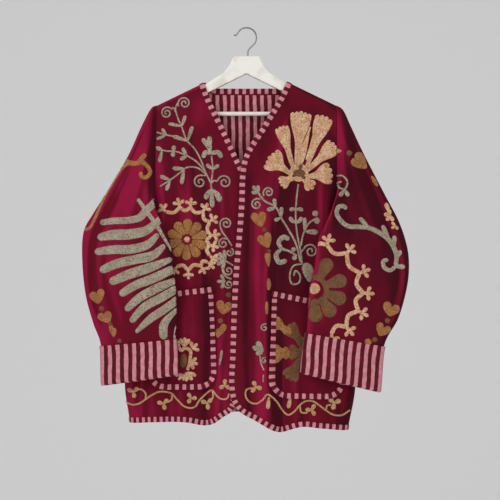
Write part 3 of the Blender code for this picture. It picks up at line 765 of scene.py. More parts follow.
class Graph:
    """A material's nodes, made in a line each."""

    def __init__(self, name: str) -> None:
        """Starts a material with its shader and output."""
        self.material = bpy.data.materials.new(name)
        self.material.use_nodes = True
        self.tree = self.material.node_tree
        self.shader = self.tree.nodes["Principled BSDF"]

    def node(self, kind: str, inputs: dict | None = None, **settings: object) -> bpy.types.Node:
        """Adds a node.

        Args:
            kind: the node's type, without its ShaderNode prefix.
            inputs: values or sockets for its inputs, by name or number.
            settings: attributes of the node.

        Returns:
            The node.
        """
        made = self.tree.nodes.new("ShaderNode" + kind)
        for key, value in settings.items():
            setattr(made, key, value)
        for key, value in (inputs or {}).items():
            self.feed(made.inputs[key], value)
        return made

    def feed(self, socket: Socket, value: object) -> None:
        """Links a socket to an input, or sets the input's value."""
        if isinstance(value, Socket):
            self.tree.links.new(value, socket)
        else:
            socket.default_value = value

    def place(self, scale: Scale = (1.0, 1.0, 1.0), uv: bool = False) -> Socket:
        """Object coordinates, or the flat UV, stretched by a scale."""
        source = self.node("UVMap", uv_map="flat") if uv else self.node("TexCoord")
        out = source.outputs["UV" if uv else "Object"]
        return self.node("Mapping", {"Vector": out, "Scale": scale}).outputs["Vector"]

    def noise(self, at: Socket, scale: float, detail: float = 2.0) -> Socket:
        """Noise from 0 to 1 at a scale."""
        return self.node("TexNoise", {"Vector": at, "Scale": scale, "Detail": detail}).outputs["Fac"]

    def math(self, operation: str, *values: object) -> Socket:
        """One step of arithmetic."""
        numbered = dict(enumerate(values))
        return self.node("Math", numbered, operation=operation).outputs[0]

    def ramp(self, value: Socket, low: float, high: float) -> Socket:
        """A value stretched so that low to high becomes a smooth 0 to 1."""
        inputs = {"Value": value, "From Min": low, "From Max": high}
        return self.node("MapRange", inputs, interpolation_type="SMOOTHSTEP").outputs["Result"]

    def spread(self, value: Socket, low: float, high: float) -> Socket:
        """A value from 0 to 1 spread from low to high."""
        return self.node("MapRange", {"Value": value, "To Min": low, "To Max": high}).outputs["Result"]

    def about(self, value: Socket, reach: float) -> Socket:
        """A value from 0 to 1 moved to lie about 0, times a reach."""
        return self.math("MULTIPLY", self.math("SUBTRACT", value, 0.5), reach)

    def shaded(self, colour: object, value: Socket, low: float, high: float) -> object:
        """A colour made darker or lighter by a value from 0 to 1."""
        tone = self.spread(value, low, high)
        shade = self.node("CombineColor", {0: tone, 1: tone, 2: tone}).outputs["Color"]
        return self.mix(1.0, colour, shade, "MULTIPLY")

    def mix(self, share: object, one: object, other: object, how: str = "MIX") -> Socket:
        """Two colours mixed."""
        made = self.node("Mix", data_type="RGBA", blend_type=how)
        for socket, value in zip((made.inputs[0], made.inputs[6], made.inputs[7]), (share, one, other)):
            self.feed(socket, value)
        return made.outputs[2]

    def bump(self, height: Socket, distance: float, strength: float = 1.0) -> None:
        """Raises the surface by a height in metres, on top of any bump before it."""
        inputs = {"Height": height, "Distance": distance, "Strength": strength}
        made = self.node("Bump", inputs)
        normal = self.shader.inputs["Normal"]
        if normal.is_linked:
            self.feed(made.inputs["Normal"], normal.links[0].from_socket)
        self.feed(normal, made.outputs["Normal"])

    def set(self, **values: object) -> None:
        """Sets the shader's sockets; an underscore in a name stands for a space."""
        for key, value in values.items():
            self.feed(self.shader.inputs[key.replace("_", " ")], value)


Colour = tuple[float, float, float, float]


def srgb(code: str) -> Colour:
    """Linear colour of a six-figure code."""
    parts = [int(code[i : i + 2], 16) / 255 for i in (0, 2, 4)]
    linear = [p / 12.92 if p <= 0.04045 else ((p + 0.055) / 1.055) ** 2.4 for p in parts]
    return (linear[0], linear[1], linear[2], 1.0)


@dataclass(frozen=True)
class VelvetFinish:
    """Cotton velvet: a deep pile that lies one way in some places and another in others, with painted light
    that is paler where the surface faces left and darker where it faces right.
    """

    dark: Colour = srgb("420616")
    main: Colour = srgb("62081f")
    light: Colour = srgb("8c1238")
    tint: Colour = srgb("b83a68")
    nap_scale: float = 8.0
    streak_scale: float = 34.0
    pile_scale: float = 2600.0
    # painted light: how far the surface turns for its colour to go from darkest to palest, and that painted
    # light's share of the tone
    turned: float = 0.46
    painted_light_share: float = 0.45
    nap_share: float = 0.35
    streak_share: float = 0.2

    def material(self) -> Finish:
        """The velvet: painted light, paler where the surface turns to the left and darker where it turns
        right, with long soft patches, streaks and pile.
        """
        g = Graph("velvet")
        facing = g.node("SeparateXYZ", {"Vector": g.node("NewGeometry").outputs["Normal"]}).outputs["X"]
        # painted light: lay is lighter where the surface faces left, as if lit from the left, and darker
        # where it faces right
        lay = g.ramp(facing, self.turned, -self.turned)
        nap = g.noise(g.place((1.0, 1.0, 0.45)), self.nap_scale, 2.0)
        streak = g.noise(g.place((1.0, 1.0, 0.3)), self.streak_scale, 3.0)
        pile = g.noise(g.place(), self.pile_scale, 1.0)
        patches = (g.math("MULTIPLY", nap, self.nap_share), g.math("MULTIPLY", streak, self.streak_share))
        # the tone, and so the dark, main and light colours, is partly painted light and partly random nap
        # patches and streaks
        tone = g.math("ADD", g.math("MULTIPLY", lay, self.painted_light_share), g.math("ADD", *patches))
        cloth = g.mix(g.ramp(tone, 0.3, 0.5), self.dark, self.main)
        cloth = g.mix(g.ramp(tone, 0.5, 0.72), cloth, self.light)
        g.set(Base_Color=g.shaded(cloth, pile, 0.82, 1.16))
        g.set(Roughness=0.85, Specular_IOR_Level=0.1)
        g.set(Sheen_Weight=0.4, Sheen_Roughness=0.3, Sheen_Tint=self.tint)
        g.bump(streak, 0.0008)
        g.bump(pile, 0.0003, 0.6)
        return g.material


@dataclass(frozen=True)
class StripedFinish:
    """Striped cotton: dark red and pink bands with a plain weave."""

    name: str
    period: float = 0.0181
    pink_share: float = 0.48
    wander: float = 0.0011
    pink: Colour = srgb("cf7d8a")
    pale: Colour = srgb("dc98a1")
    red: Colour = srgb("6a1220")
    deep: Colour = srgb("520d1a")
    thread: float = 0.00055
    wander_scale: float = 38.0
    fray_scale: float = 1500.0
    fray: float = 0.07
    soft: float = 0.02
    fade_scale: float = 90.0
    pucker_scale: float = 120.0
    pucker: float = 0.0016

    def material(self) -> Finish:
        """The cotton; its stripes run along the second direction of the flat cloth."""
        g = Graph(self.name)
        flat = g.place(uv=True)
        wave = g.about(g.noise(flat, self.wander_scale), 4 * self.wander)
        split = g.node("SeparateXYZ", {"Vector": flat})
        across = g.math("ADD", split.outputs["X"], wave)
        turn = g.math("FRACT", g.math("DIVIDE", across, self.period))
        rough_edge = g.about(g.noise(flat, self.fray_scale), self.fray)
        off = g.math("ABSOLUTE", g.math("SUBTRACT", g.math("ADD", turn, rough_edge), 0.5))
        edge = self.pink_share / 2
        pink_here = g.ramp(off, edge + self.soft, edge - self.soft)
        fade = g.ramp(g.noise(flat, self.fade_scale, 3.0), 0.3, 0.7)
        band = g.mix(fade, self.pink, self.pale)
        ground = g.mix(fade, self.red, self.deep)
        threads = {"Vector": flat, "Scale": 0.5 / self.thread, "Distortion": 1.5}
        warp, weft = (g.node("TexWave", threads, bands_direction=way).outputs["Fac"] for way in "XY")
        weave = g.math("MULTIPLY", warp, weft)
        g.set(Base_Color=g.shaded(g.mix(pink_here, ground, band), weave, 0.8, 1.1))
        g.set(Roughness=0.8, Specular_IOR_Level=0.15, Sheen_Weight=0.04, Sheen_Roughness=0.5)
        g.bump(g.noise(flat, self.pucker_scale, 2.0), self.pucker, 0.6)
        g.bump(weave, 0.0002, 0.6)
        return g.material


@dataclass(frozen=True)
class ThreadFinish:
    """Silk chain stitch: close loops in rows along the motif, in one colour of thread."""

    thread: Thread
    main: Colour
    # dark serves both the random dark speckle of the thread and the painted shade between its loops and rows
    dark: Colour
    light: Colour
    stitch: float = 0.0021
    row: float = 0.0017
    grain: float = 330.0
    patch_scale: float = 60.0
    relief: float = 0.0006

    def material(self) -> Finish:
        """The thread; its rows run along the first direction of the flat stitching."""
        g = Graph("thread_" + self.thread.value)
        flat = g.place(uv=True)
        split = g.node("SeparateXYZ", {"Vector": flat})
        lane = g.math("DIVIDE", split.outputs["Y"], self.row)
        across = g.math("ABSOLUTE", g.math("SUBTRACT", g.math("FRACT", lane), 0.5))
        lean = g.math("ADD", g.math("DIVIDE", split.outputs["X"], self.stitch), across)
        loop = g.math("PINGPONG", lean, 0.5)
        round_row = g.math("SUBTRACT", 1.0, g.math("POWER", g.math("MULTIPLY", across, 2.0), 2.5))
        height = g.math("MULTIPLY", round_row, g.math("ADD", g.math("MULTIPLY", loop, 1.1), 0.45))
        place = g.place()
        patch = g.ramp(g.noise(place, self.patch_scale, 2.0), 0.35, 0.68)
        body = g.mix(patch, self.main, self.light)
        body = g.mix(g.ramp(g.noise(place, self.grain, 2.0), 0.54, 0.3), body, self.dark)
        # painted shade: the thread is coloured darker in the hollows between its loops and rows
        g.set(Base_Color=g.mix(g.ramp(height, 0.1, 0.5), self.dark, body))
        g.set(Roughness=0.48, Specular_IOR_Level=0.45, Sheen_Weight=0.25, Sheen_Roughness=0.4)
        g.bump(height, self.relief)
        return g.material


@dataclass(frozen=True)
class WoodFinish:
    """White painted wood, worn to the bare wood along its underside."""

    paint: Colour = srgb("e9e5df")
    grubby: Colour = srgb("d3cbc0")
    bare: Colour = srgb("a4835f")
    bare_dark: Colour = srgb("7d6044")
    grain_scale: float = 320.0
    grubby_scale: float = 26.0

    def material(self, name: str, bare_underside: bool) -> Finish:
        """The painted wood.

        Args:
            name: the finish's name.
            bare_underside: whether faces that point down show the bare wood.

        Returns:
            The material.
        """
        g = Graph(name)
        grain = g.noise(g.place((0.12, 1.0, 1.0)), self.grain_scale, 4.0)
        patches = g.ramp(g.noise(g.place(), self.grubby_scale, 3.0), 0.45, 0.75)
        colour = g.mix(patches, self.paint, self.grubby)
        if bare_underside:
            facing = g.node("NewGeometry").outputs["Normal"]
            up = g.node("SeparateXYZ", {"Vector": facing}).outputs["Z"]
            wear = g.math("ADD", up, g.about(grain, 0.6))
            wood = g.mix(grain, self.bare, self.bare_dark)
            colour = g.mix(g.ramp(wear, -0.62, -0.78), colour, wood)
        g.set(Base_Color=colour, Roughness=g.spread(grain, 0.36, 0.5))
        g.set(Coat_Weight=0.15, Coat_Roughness=0.3)
        g.bump(grain, 0.0003, 0.5)
        return g.material


@dataclass(frozen=True)
class SteelFinish:
    """Drawn steel wire, lightly brushed along its length."""

    bright: Colour = srgb("8b8b8c")
    dull: Colour = srgb("5c5c5f")
    rub_scale: float = 700.0

    def material(self) -> Finish:
        """The steel."""
        g = Graph("hook_steel")
        rub = g.noise(g.place(), self.rub_scale, 3.0)
        g.set(Base_Color=g.mix(g.ramp(rub, 0.35, 0.7), self.bright, self.dull), Metallic=1.0)
        g.set(Roughness=g.spread(rub, 0.2, 0.38))
        g.bump(rub, 0.00005, 0.5)
        return g.material


FINISHES = {
    Thread.GREY: ThreadFinish(Thread.GREY, srgb("a89a82"), srgb("665845"), srgb("bdb19c")),
    Thread.PEACH: ThreadFinish(Thread.PEACH, srgb("dba77c"), srgb("96623c"), srgb("efc8a2")),
    Thread.OCHRE: ThreadFinish(Thread.OCHRE, srgb("a76c2c"), srgb("6a3d12"), srgb("bf8340")),
    Thread.BROWN: ThreadFinish(Thread.BROWN, srgb("704513"), srgb("422508"), srgb("87581f")),
    Thread.TAN: ThreadFinish(Thread.TAN, srgb("c99c66"), srgb("8e6236"), srgb("d8b280")),
}


@dataclass
class Cloth:
    """The materials that the garment's pieces share."""

    velvet: Finish = field(init=False)
    lining: Finish = field(init=False)
    binding: Finish = field(init=False)
    cuff: Finish = field(init=False)
    threads: dict[Thread, Finish] = field(init=False)

    def __post_init__(self) -> None:
        """Makes each material once."""
        self.velvet = VelvetFinish().material()
        self.lining = StripedFinish("striped_lining").material()
        self.binding = StripedFinish("striped_binding", wander=0.0006).material()
        self.cuff = StripedFinish("striped_cuff", period=0.0197).material()
        self.threads = {thread: finish.material() for thread, finish in FINISHES.items()}


@dataclass
class Body:
    """The velvet body: two fronts and the back, with the lining that shows in the neck."""

    form: BodyForm
    cloth: Cloth
    lining_low_z: float = -400.0
    lining_half: float = 94.5
    lining_off: float = 1.8
    lining_cloth: float = 1.0
    lining_drop: float = 14.6
    lining_columns: int = 96
    lining_rows: int = 130
    lining_pucker: float = 0.35
    panels: dict[str, Piece] = field(default_factory=dict)

    def build(self) -> None:
        """Builds the body's pieces."""
        for side, panel in FRONTS.items():
            self.hang(panel, self.form.front_grid(side))
        self.hang(Panel.BACK, self.form.back_grid())
        self.lining()

    def hang(self, panel: Panel, points: Points) -> None:
        """Builds a velvet panel on its middle surface."""
        name = panel.value
        velvet, cloth = self.cloth.velvet, self.form.cloth
        shell = Sewn(name + "_cloth", (name,), velvet, "velvet", cloth, "hung", "hanger_body")
        self.panels[name] = shell.build(points)

    def lining(self) -> None:
        """The lining behind the neck, which lies inside the back."""
        across = np.linspace(-self.lining_half, self.lining_half, self.lining_columns)
        top = self.form.back_top(across) - self.lining_drop
        share = np.linspace(0, 1, self.lining_rows)[:, None]
        z = top * (1 - share) + self.lining_low_z * share
        x = np.broadcast_to(across, z.shape)
        high = self.lining_pucker
        off = self.lining_off + high * np.sin(x / 5.1 + z / 60.0) + high * np.sin(x / 8.3 - z / 37.0)
        inner = self.form.out_from(Panel.BACK, x, z, -off)
        striped, cloth = self.cloth.lining, self.lining_cloth
        name = "back_lining"
        Sewn(name + "_cloth", (name,), striped, "striped_lining", cloth, "hung", "back_cloth").build(inner)


@dataclass
class Sleeve:
    """A sleeve and the striped cuff turned back over its end."""

    form: SleeveForm
    cloth: Cloth
    rows: int = 190
    sleeve_cloth: float = 2.0
    cuff_top: float = 10.0
    cuff_off: float = 3.1
    cuff_cloth: float = 3.0
    cuff_bow: float = 0.5
    turn_in: float = 0.33
    outside_rings: int = 34
    inside_rings: int = 12
    turn_step: int = 15

    @property
    def name(self) -> str:
        """The sleeve's node."""
        return WORDS[self.form.side] + "_sleeve"

    @property
    def last(self) -> int:
        """The last row of the form's table."""
        return len(self.form.ROWS[self.form.side]) - 1

    def build(self) -> Piece:
        """Builds the sleeve and its cuff.

        Returns:
            The sleeve's shell, for what is sewn on it.
        """
        sleeve = self.tube()
        self.cuff()
        return sleeve

    def close(self, rings: list[Points]) -> Points:
        """The rings as a grid, each with its first point again after its last one."""
        grid = np.array(rings)
        return np.concatenate([grid, grid[:, :1]], axis=1)

    def tube(self) -> Piece:
        """The velvet sleeve, open at both ends."""
        rings = self.close([self.form.ring(row) for row in np.linspace(0, self.last, self.rows)])
        velvet, rest = self.cloth.velvet, WORDS[self.form.side] + "_front_cloth"
        shell = Sewn(
            self.name + "_cloth", (self.name,), velvet, "velvet", self.sleeve_cloth, "hung", rest, True
        )
        return shell.build(rings)

    def cuff(self) -> None:
        """The cuff: down outside the sleeve, round its end and up inside."""
        form, last, off = self.form, self.last, self.cuff_off
        rings = []
        for row in np.linspace(self.cuff_top, last, self.outside_rings):
            bow = self.cuff_bow * math.sin(math.pi * (row - self.cuff_top))
            rings.append(form.ring(row, off + bow))
        for turn in range(self.turn_step, 180, self.turn_step):
            angle = math.radians(turn)
            rings.append(form.ring(last, off * math.cos(angle), off * math.sin(angle)))
        low = form.ring(last, -off)
        high = form.ring(self.cuff_top, -off)
        inside = np.linspace(0, 1, self.inside_rings)
        rings += [low + (high - low) * self.turn_in * share for share in inside]
        points = self.close(rings)
        name = WORDS[form.side] + "_cuff"
        striped, cloth, rest = self.cloth.cuff, self.cuff_cloth, self.name + "_cloth"
        shell = Sewn(name + "_cloth", (name,), striped, "striped_lining", cloth, "folded", rest, True)
        shell.build(points + self.ripple(points))

    def ripple(self, points: Points) -> Points:
        """The soft unevenness of the cuff's quilted cotton, front to back."""
        x, z = points[..., 0], points[..., 2]
        wave = 0.55 * np.sin(x / 9.0 + z / 31.0) + 0.4 * np.sin(x / 5.2 - z / 23.0)
        return np.stack([np.zeros_like(wave), wave, np.zeros_like(wave)], axis=-1)


@dataclass
class Binding:
    """A strip of striped cotton folded over an edge of the body."""

    form: BodyForm
    cloth: Cloth
    width: float = 11.6
    leg: float = 2.0
    nose: float = 1.0
    thickness: float = 1.0
    station: float = 3.0
    easing: int = 12
    columns: int = 9
    puff: float = 0.45
    stretch_from: float = 0.7
    stretch_ease: float = 0.06
    neck_half: float = 90.0

    def section(self) -> Points:
        """The folded strip's section: inward distance and height for each of its points."""
        inward = np.linspace(self.width, 0.0, self.columns)
        puff = self.puff * np.sin(np.linspace(0, math.pi, self.columns)) ** 0.6
        outer = np.stack([inward, self.leg + puff], axis=-1)
        turn = np.radians(np.linspace(90, -90, self.columns))[1:-1]
        bend = [(-self.nose * math.cos(angle), self.leg * math.sin(angle)) for angle in turn]
        inner = np.stack([inward[::-1], np.full(self.columns, -self.leg)], axis=-1)
        return np.vstack([outer, bend, inner])

    def resample(self, path: Points) -> Points:
        """An even path with its corners eased, through the points of another."""
        end = lengths(path)[-1]
        return eased(on_line(path, np.linspace(0, end, int(end / self.station) + 1)), self.easing)

    def sweep(
        self, name: str, panel: Panel, path: Points, turn: int, stretch: float, *nodes: str
    ) -> None:
        """Builds a binding along an edge.

        Args:
            name: the piece's name.
            panel: the panel whose edge it covers.
            path: the edge, as x and z.
            turn: 1 where the panel lies to the left of the path's heading, -1 to the right.
            stretch: how many stripes there are for each one on the flat cloth, at the path's end.
            nodes: the nodes that it replaces.
        """
        line = self.resample(path)
        inward = square_to(line) * turn
        rows = []
        for distance, height in self.section():
            at = line + inward * max(distance, 0.0)
            point = self.form.out_from(panel, at[:, 0], at[:, 1], np.full(len(line), height))
            point[:, [0, 2]] += inward * min(distance, 0.0)
            rows.append(point)
        points = np.array(rows)
        flat = surface_flat(points)
        run = flat[len(rows) // 2, :, 0]
        share = np.clip((run / run[-1] - self.stretch_from) / self.stretch_ease, 0, 1)
        run = np.concatenate([[0], np.cumsum(np.diff(run) * (1 + (stretch - 1) * share[1:]))])
        flat[..., 0] = run
        striped, cloth, rest = self.cloth.binding, self.thickness, panel.value + "_cloth"
        Sewn(name, nodes, striped, "striped_binding", cloth, "folded", rest).build(points, flat)

    def build(self) -> None:
        """Builds the bindings of the fronts, the neck and the back's hem."""
        for side, stretch in ((-1, 1.3), (1, 1.15)):
            grid = self.form.front_grid(side)[..., [0, 2]]
            path = np.vstack([grid[2:, 0], grid[-1, 1:]])
            front = FRONTS[side].value
            nodes = ("neck_binding_" + front, "hem_binding_" + front)
            self.sweep(front + "_binding", FRONTS[side], path, side, stretch, *nodes)
        grid = self.form.back_grid()[..., [0, 2]]
        neck = grid[0][np.abs(grid[0, :, 0]) < self.neck_half]
        self.sweep("neck_binding", Panel.BACK, neck, -1, 1.0, "neck_binding_back")
        self.sweep("back_hem_binding", Panel.BACK, grid[-1], 1, 1.0, "hem_binding_back")


@dataclass
class Pocket:
    """A patch pocket with a binding along its mouth and one round its sides and bottom."""

    form: BodyForm
    shape: PocketForm
    cloth: Cloth
    width: float = 11.8
    off: float = 2.7
    thickness: float = 2.0
    slack: float = 0.5
    band_off: float = 5.7
    band: float = 1.2
    puff: float = 0.55
    sunk: float = 0.3
    beyond: float = 1.2
    rows: int = 60
    columns: int = 70
    corner_rows: int = 20
    strip_rows: int = 9
    strip_columns: int = 230
    easing: int = 6

    @property
    def name(self) -> str:
        """The pocket's node."""
        return WORDS[self.shape.side] + "_pocket"

    def build(self) -> Piece:
        """Builds the pocket and its bindings.

        Returns:
            The pocket's shell, for what is sewn on it.
        """
        turn = np.linspace(0, math.pi / 2, self.corner_rows)
        height = self.shape.inner_top[1] - self.shape.inner_low[1]
        corner = 1 - self.shape.corner / height * (1 - np.sin(turn))
        downs = np.concatenate([np.linspace(0, corner[0], self.rows)[:-1], corner])
        across, down = np.meshgrid(np.linspace(0, 1, self.columns), downs)
        flat = self.shape.flat(across, down)
        x, z = flat[..., 0], flat[..., 1]
        inside = np.sin(np.pi * across) * np.sin(np.pi * np.clip(down, 0, 1))
        slack = self.slack * np.sin(x / 17.0 + z / 60.0) * inside
        points = self.form.out_from(FRONTS[self.shape.side], x, z, self.off + self.thickness / 2 + slack)
        piece = self.add(self.name, points, None)
        self.bindings()
        return piece

    def add(self, name: str, points: Points, flat: Points | None) -> Piece:
        """Builds one cloth piece: the velvet pocket, or a striped binding where it has its own flat.

        Args:
            name: the node that it replaces.
            points: its middle surface.
            flat: each point's place on a binding's flat cloth.

        Returns:
            The piece.
        """
        material, slot, cloth = self.cloth.binding, "striped_binding", self.band
        if flat is None:
            material, slot, cloth = self.cloth.velvet, "velvet", self.thickness
        rest = FRONTS[self.shape.side].value + "_cloth"
        return Sewn(name + "_cloth", (name,), material, slot, cloth, "laid", rest).build(points, flat)

    def strip(self, line: Points, inward: Points, name: str) -> None:
        """A flat binding beside a line on the pocket, puffed a little between its edges."""
        share = np.linspace(-self.beyond / self.width, 1.0, self.strip_rows)
        at = line[None] + inward[None] * (share * self.width)[:, None, None]
        puff = self.puff * np.sin(np.pi * np.linspace(0, 1, self.strip_rows)) ** 0.6
        lift = self.band_off + self.band / 2 + puff[:, None] - self.sunk + np.zeros(at.shape[:2])
        points = self.form.out_from(FRONTS[self.shape.side], at[..., 0], at[..., 1], lift)
        flat = surface_flat(points)
        flat[..., 0] = flat[len(flat) // 2, :, 0]
        self.add(name, points, flat)

    def bindings(self) -> None:
        """The mouth's binding and the one round the edge."""
        top = self.shape.flat(np.linspace(0, 1, self.rows), np.zeros(self.rows))
        along = unit(top[-1] - top[0])
        top[0] -= along * self.beyond
        top[-1] += along * self.beyond
        downward = np.array([along[1], -along[0]]) * np.sign(along[0])
        self.strip(top, np.broadcast_to(downward, top.shape), self.name + "_mouth_binding")
        rim = self.shape.rim(self.rows)
        ends = self.width + 1.0
        even = np.linspace(ends, lengths(rim)[-1] - ends, self.strip_columns)
        line = eased(on_line(rim, even), self.easing)
        inward = square_to(line)
        if np.sum(inward * (line.mean(axis=0) - line)) < 0:
            inward = -inward
        self.strip(line, inward, self.name + "_edge_binding")


Spot = tuple[float, float]
SPIRAL_SPOTS = 22
# Widths along a run of stitching, as shares of its greatest
LEAF_WIDTHS = (0.42, 0.8, 1.0, 0.86)
LOBE_WIDTHS = (0.22, 0.62, 0.95, 1.0, 1.0)
HEART_WIDTHS = (0.3, 0.8, 1.0)
PETAL_WIDTHS = (0.42, 0.6, 0.82, 1.0, 1.0)


@dataclass(frozen=True)
class Band:
    """A run of stitching through places of the 500-pixel picture, with its full widths along it."""

    line: tuple[Spot, ...]
    widths: tuple[float, ...]


@dataclass(frozen=True)
class Picture:
    """Where the 500-pixel picture lies on the jacket."""

    middle: float = 246.5
    crown: float = 27.0
    pixel: float = 2.4

    def place(self, spots: Points) -> Points:
        """X and z, in millimetres, of places in the picture."""
        return np.stack([(spots[:, 0] - self.middle), (self.crown - spots[:, 1])], axis=-1) * self.pixel


def run(*line: Spot, w: float | tuple[float, ...] = 1.8) -> list[Band]:
    """A run of one width, or of widths spaced evenly along it."""
    widths = (w, w) if isinstance(w, (int, float)) else tuple(w)
    return [Band(tuple(line), widths)]


def widened(shares: tuple[float, ...], w: float) -> tuple[float, ...]:
    """Widths from their shares of the greatest one."""
    return tuple(share * w for share in shares)


def leaf(root: Spot, tip: Spot, w: float, bow: float = 0.0) -> list[Band]:
    """A leaf, fattest towards its tip.

    Args:
        root: where it leaves the stem.
        tip: its end.
        w: its greatest width.
        bow: how far its middle bends aside, as a share of its length.

    Returns:
        Its one run.
    """
    side = (-(tip[1] - root[1]) * bow, (tip[0] - root[0]) * bow)
    middle = ((root[0] + tip[0]) / 2 + side[0], (root[1] + tip[1]) / 2 + side[1])
    return [Band((root, middle, tip), widened(LEAF_WIDTHS, w))]


def spray(root: Spot, *tips: tuple[float, ...]) -> list[Band]:
    """Leaves from one root, each by its tip across and down, its width and its bow."""
    return [band for x, y, *shape in tips for band in leaf(root, (x, y), *shape)]


def disc(x: float, y: float, r: float) -> list[Band]:
    """A round dot."""
    return [Band(((x - r, y), (x, y), (x + r, y)), (2 * r, 2 * r))]


def spiral(x: float, y: float, r: float, start: float, turns: float, w: float = 1.8) -> list[Band]:
    """A curl that winds in.

    Args:
        x: its middle across.
        y: its middle down.
        r: its outer radius.
        start: the angle of its outer end, in degrees from the right towards the picture's foot.
        turns: how often it winds, negative the other way round.
        w: its width.

    Returns:
        Its one run.
    """
    spots = []
    for share in np.linspace(0, 1, SPIRAL_SPOTS):
        angle = math.radians(start + 360 * turns * share)
        reach = r * (1 - 0.86 * share**0.85)
        spots.append((x + reach * math.cos(angle), y + reach * math.sin(angle)))
    return [Band(tuple(spots), (w, w))]


def heart(lobe: Spot, other: Spot, tip: Spot, w: float) -> list[Band]:
    """A heart, from the middles of its two lobes and its tip."""
    middle = ((lobe[0] + other[0]) / 2, (lobe[1] + other[1]) / 2)
    beyond = 0.32
    made = []
    for end in (lobe, other):
        out = (end[0] + beyond * (end[0] - tip[0]), end[1] + beyond * (end[1] - tip[1]))
        made.append(Band((tip, end, out), widened(LOBE_WIDTHS, w)))
    made.append(Band((tip, middle), widened(HEART_WIDTHS, w)))
    return made


def clover(
    x: float, y: float, r: float, turn: float, lobes: int = 3, spread: float = 240.0, fat: float = 0.7
) -> list[Band]:
    """Round lobes about a middle.

    Args:
        x: the middle across.
        y: the middle down.
        r: how far the lobes reach.
        turn: the angle of the middle lobe, in degrees from the right towards the picture's foot.
        lobes: how many there are.
        spread: the angle from the first to the last.
        fat: a lobe's width for its length.

    Returns:
        Its runs.
    """
    made = []
    for angle in np.radians(turn + np.linspace(-spread / 2, spread / 2, lobes)):
        tip = (x + r * math.cos(angle), y + r * math.sin(angle))
        made += leaf((x, y), tip, fat * r)
    return made


def fan(root: Spot, tip: Spot, narrow: float, wide: float, lobes: int) -> list[Band]:
    """A petal that widens to a scalloped end.

    Args:
        root: its narrow end.
        tip: the middle of its wide end.
        narrow: its width at the root.
        wide: its width at the end.
        lobes: the scallops along the end.

    Returns:
        Its runs.
    """
    reach = math.dist(root, tip)
    along = ((tip[0] - root[0]) / reach, (tip[1] - root[1]) / reach)
    aside = (-along[1], along[0])
    size = wide / lobes
    made = []
    for k, share in enumerate(np.linspace(-1, 1, lobes)):
        off = share * (wide - size) / 2
        drop = size * (0.55 + 0.5 * abs(share))
        end = (tip[0] + aside[0] * off - along[0] * drop, tip[1] + aside[1] * off - along[1] * drop)
        out = (end[0] + along[0] * 0.6 * size, end[1] + along[1] * 0.6 * size)
        near = 0.12 * share * narrow
        start = (root[0] + aside[0] * near, root[1] + aside[1] * near)
        bend = tuple(start[k] + (end[k] - start[k]) * 0.45 - aside[k] * off * 0.28 for k in (0, 1))
        widths = (0.6 * narrow, narrow, 0.95 * size, 1.2 * size, 1.1 * size)
        made.append(Band((start, bend, end, out), widths))
    return made


def daisy(x: float, y: float, inner: float, outer: float, wide: float, angles: Points) -> list[Band]:
    """Petals round a middle, wider at their ends."""
    made = []
    for angle in np.radians(angles):
        way = (math.cos(angle), math.sin(angle))
        root = (x + inner * way[0], y + inner * way[1])
        tip = (x + outer * way[0], y + outer * way[1])
        made.append(Band((root, tip), widened(PETAL_WIDTHS, wide)))
    return made


Work = dict[Thread, list[Band]]


def left_sleeve_work() -> Work:
    """The fern, the forked scroll and the hearts of the left sleeve."""
    leaflets = [
        ([(101, 222.8), (114, 221), (131, 220.3), (141, 217.7), (146.8, 211.3), (152.5, 206), (161, 196.5)],
         (6, 7, 7, 8, 8, 7.5)),
        ([(98.6, 237.5), (114, 235), (131, 234.3), (147.4, 230.5), (156.4, 224), (166, 215.6)],
         (7, 10.5, 11, 10, 8, 7)),
        ([(96, 252), (114, 249.6), (133.4, 249), (150, 243.9), (159.5, 234)], (7, 9, 9.5, 9, 5)),
        ([(101.6, 270.6), (118, 263.6), (137.2, 259.2), (155, 254.7), (166, 245)], (8, 9.5, 9.5, 9.5, 5)),
        ([(111.2, 282), (131, 273.8), (152.5, 266.8), (173, 258.6)], (8, 10, 9.5, 5)),
        ([(121.4, 294.2), (136, 285.3), (155, 277.7), (176, 267.9)], (7.5, 9, 9.5, 8.5)),
        ([(127.2, 309.5), (139.8, 298), (157.6, 287.9), (178, 279.4)], (6.5, 9, 9, 6)),
        ([(132.3, 321), (144.9, 307), (162.7, 296.8), (180, 286.8)], (6, 8.5, 9, 8)),
        ([(137.4, 331.2), (152.5, 317.2), (167.8, 307), (181, 297)], (4, 8, 8.5, 8.5)),
    ]
    grey = run((138.5, 199), (147.4, 211.3), (157.6, 225.4), (165.3, 238), (174, 252.5),
               w=(3.8, 4.4, 3.6, 2.2))
    for line, widths in leaflets:
        grey += run(*line, w=widths)
    grey += run((165, 338), (165.3, 323.6), (173, 313.4), (182, 305.5), w=(8, 9, 6, 4))
    grey += run((176, 338), (178, 326), (182, 318), w=4)
    ochre = run((122.5, 159), (130.8, 162.9), (137.2, 163.5), (141.7, 162.2), (147.4, 166), (150.6, 172.4),
                (147.6, 177.3), (143.4, 177.6), (140.6, 172.4), w=(4, 5, 4.5, 4, 4, 4))
    ochre += run((137.2, 163.5), (141.7, 159), (146.2, 154), w=(3.5, 4.6, 4.6))
    ochre += run((134, 162), (124.5, 166), (118, 173.7), (111.7, 184.5), (105.3, 196), (99.6, 208.8),
                 (95, 220), (90.5, 228), (85.5, 230), w=(3.4, 3, 3, 3))
    ochre += heart((94.6, 294.5), (102.4, 292), (100.3, 303), 7.6)
    ochre += heart((102.5, 315.6), (109.5, 313), (111.3, 321.5), 7)
    ochre += heart((113, 327), (116, 329), (115.5, 336), 4.6)
    brown = disc(103.4, 307.8, 2.5) + disc(112.2, 323.4, 2) + disc(121.3, 339.5, 2.2)
    return {Thread.GREY: grey, Thread.OCHRE: ochre, Thread.BROWN: brown}


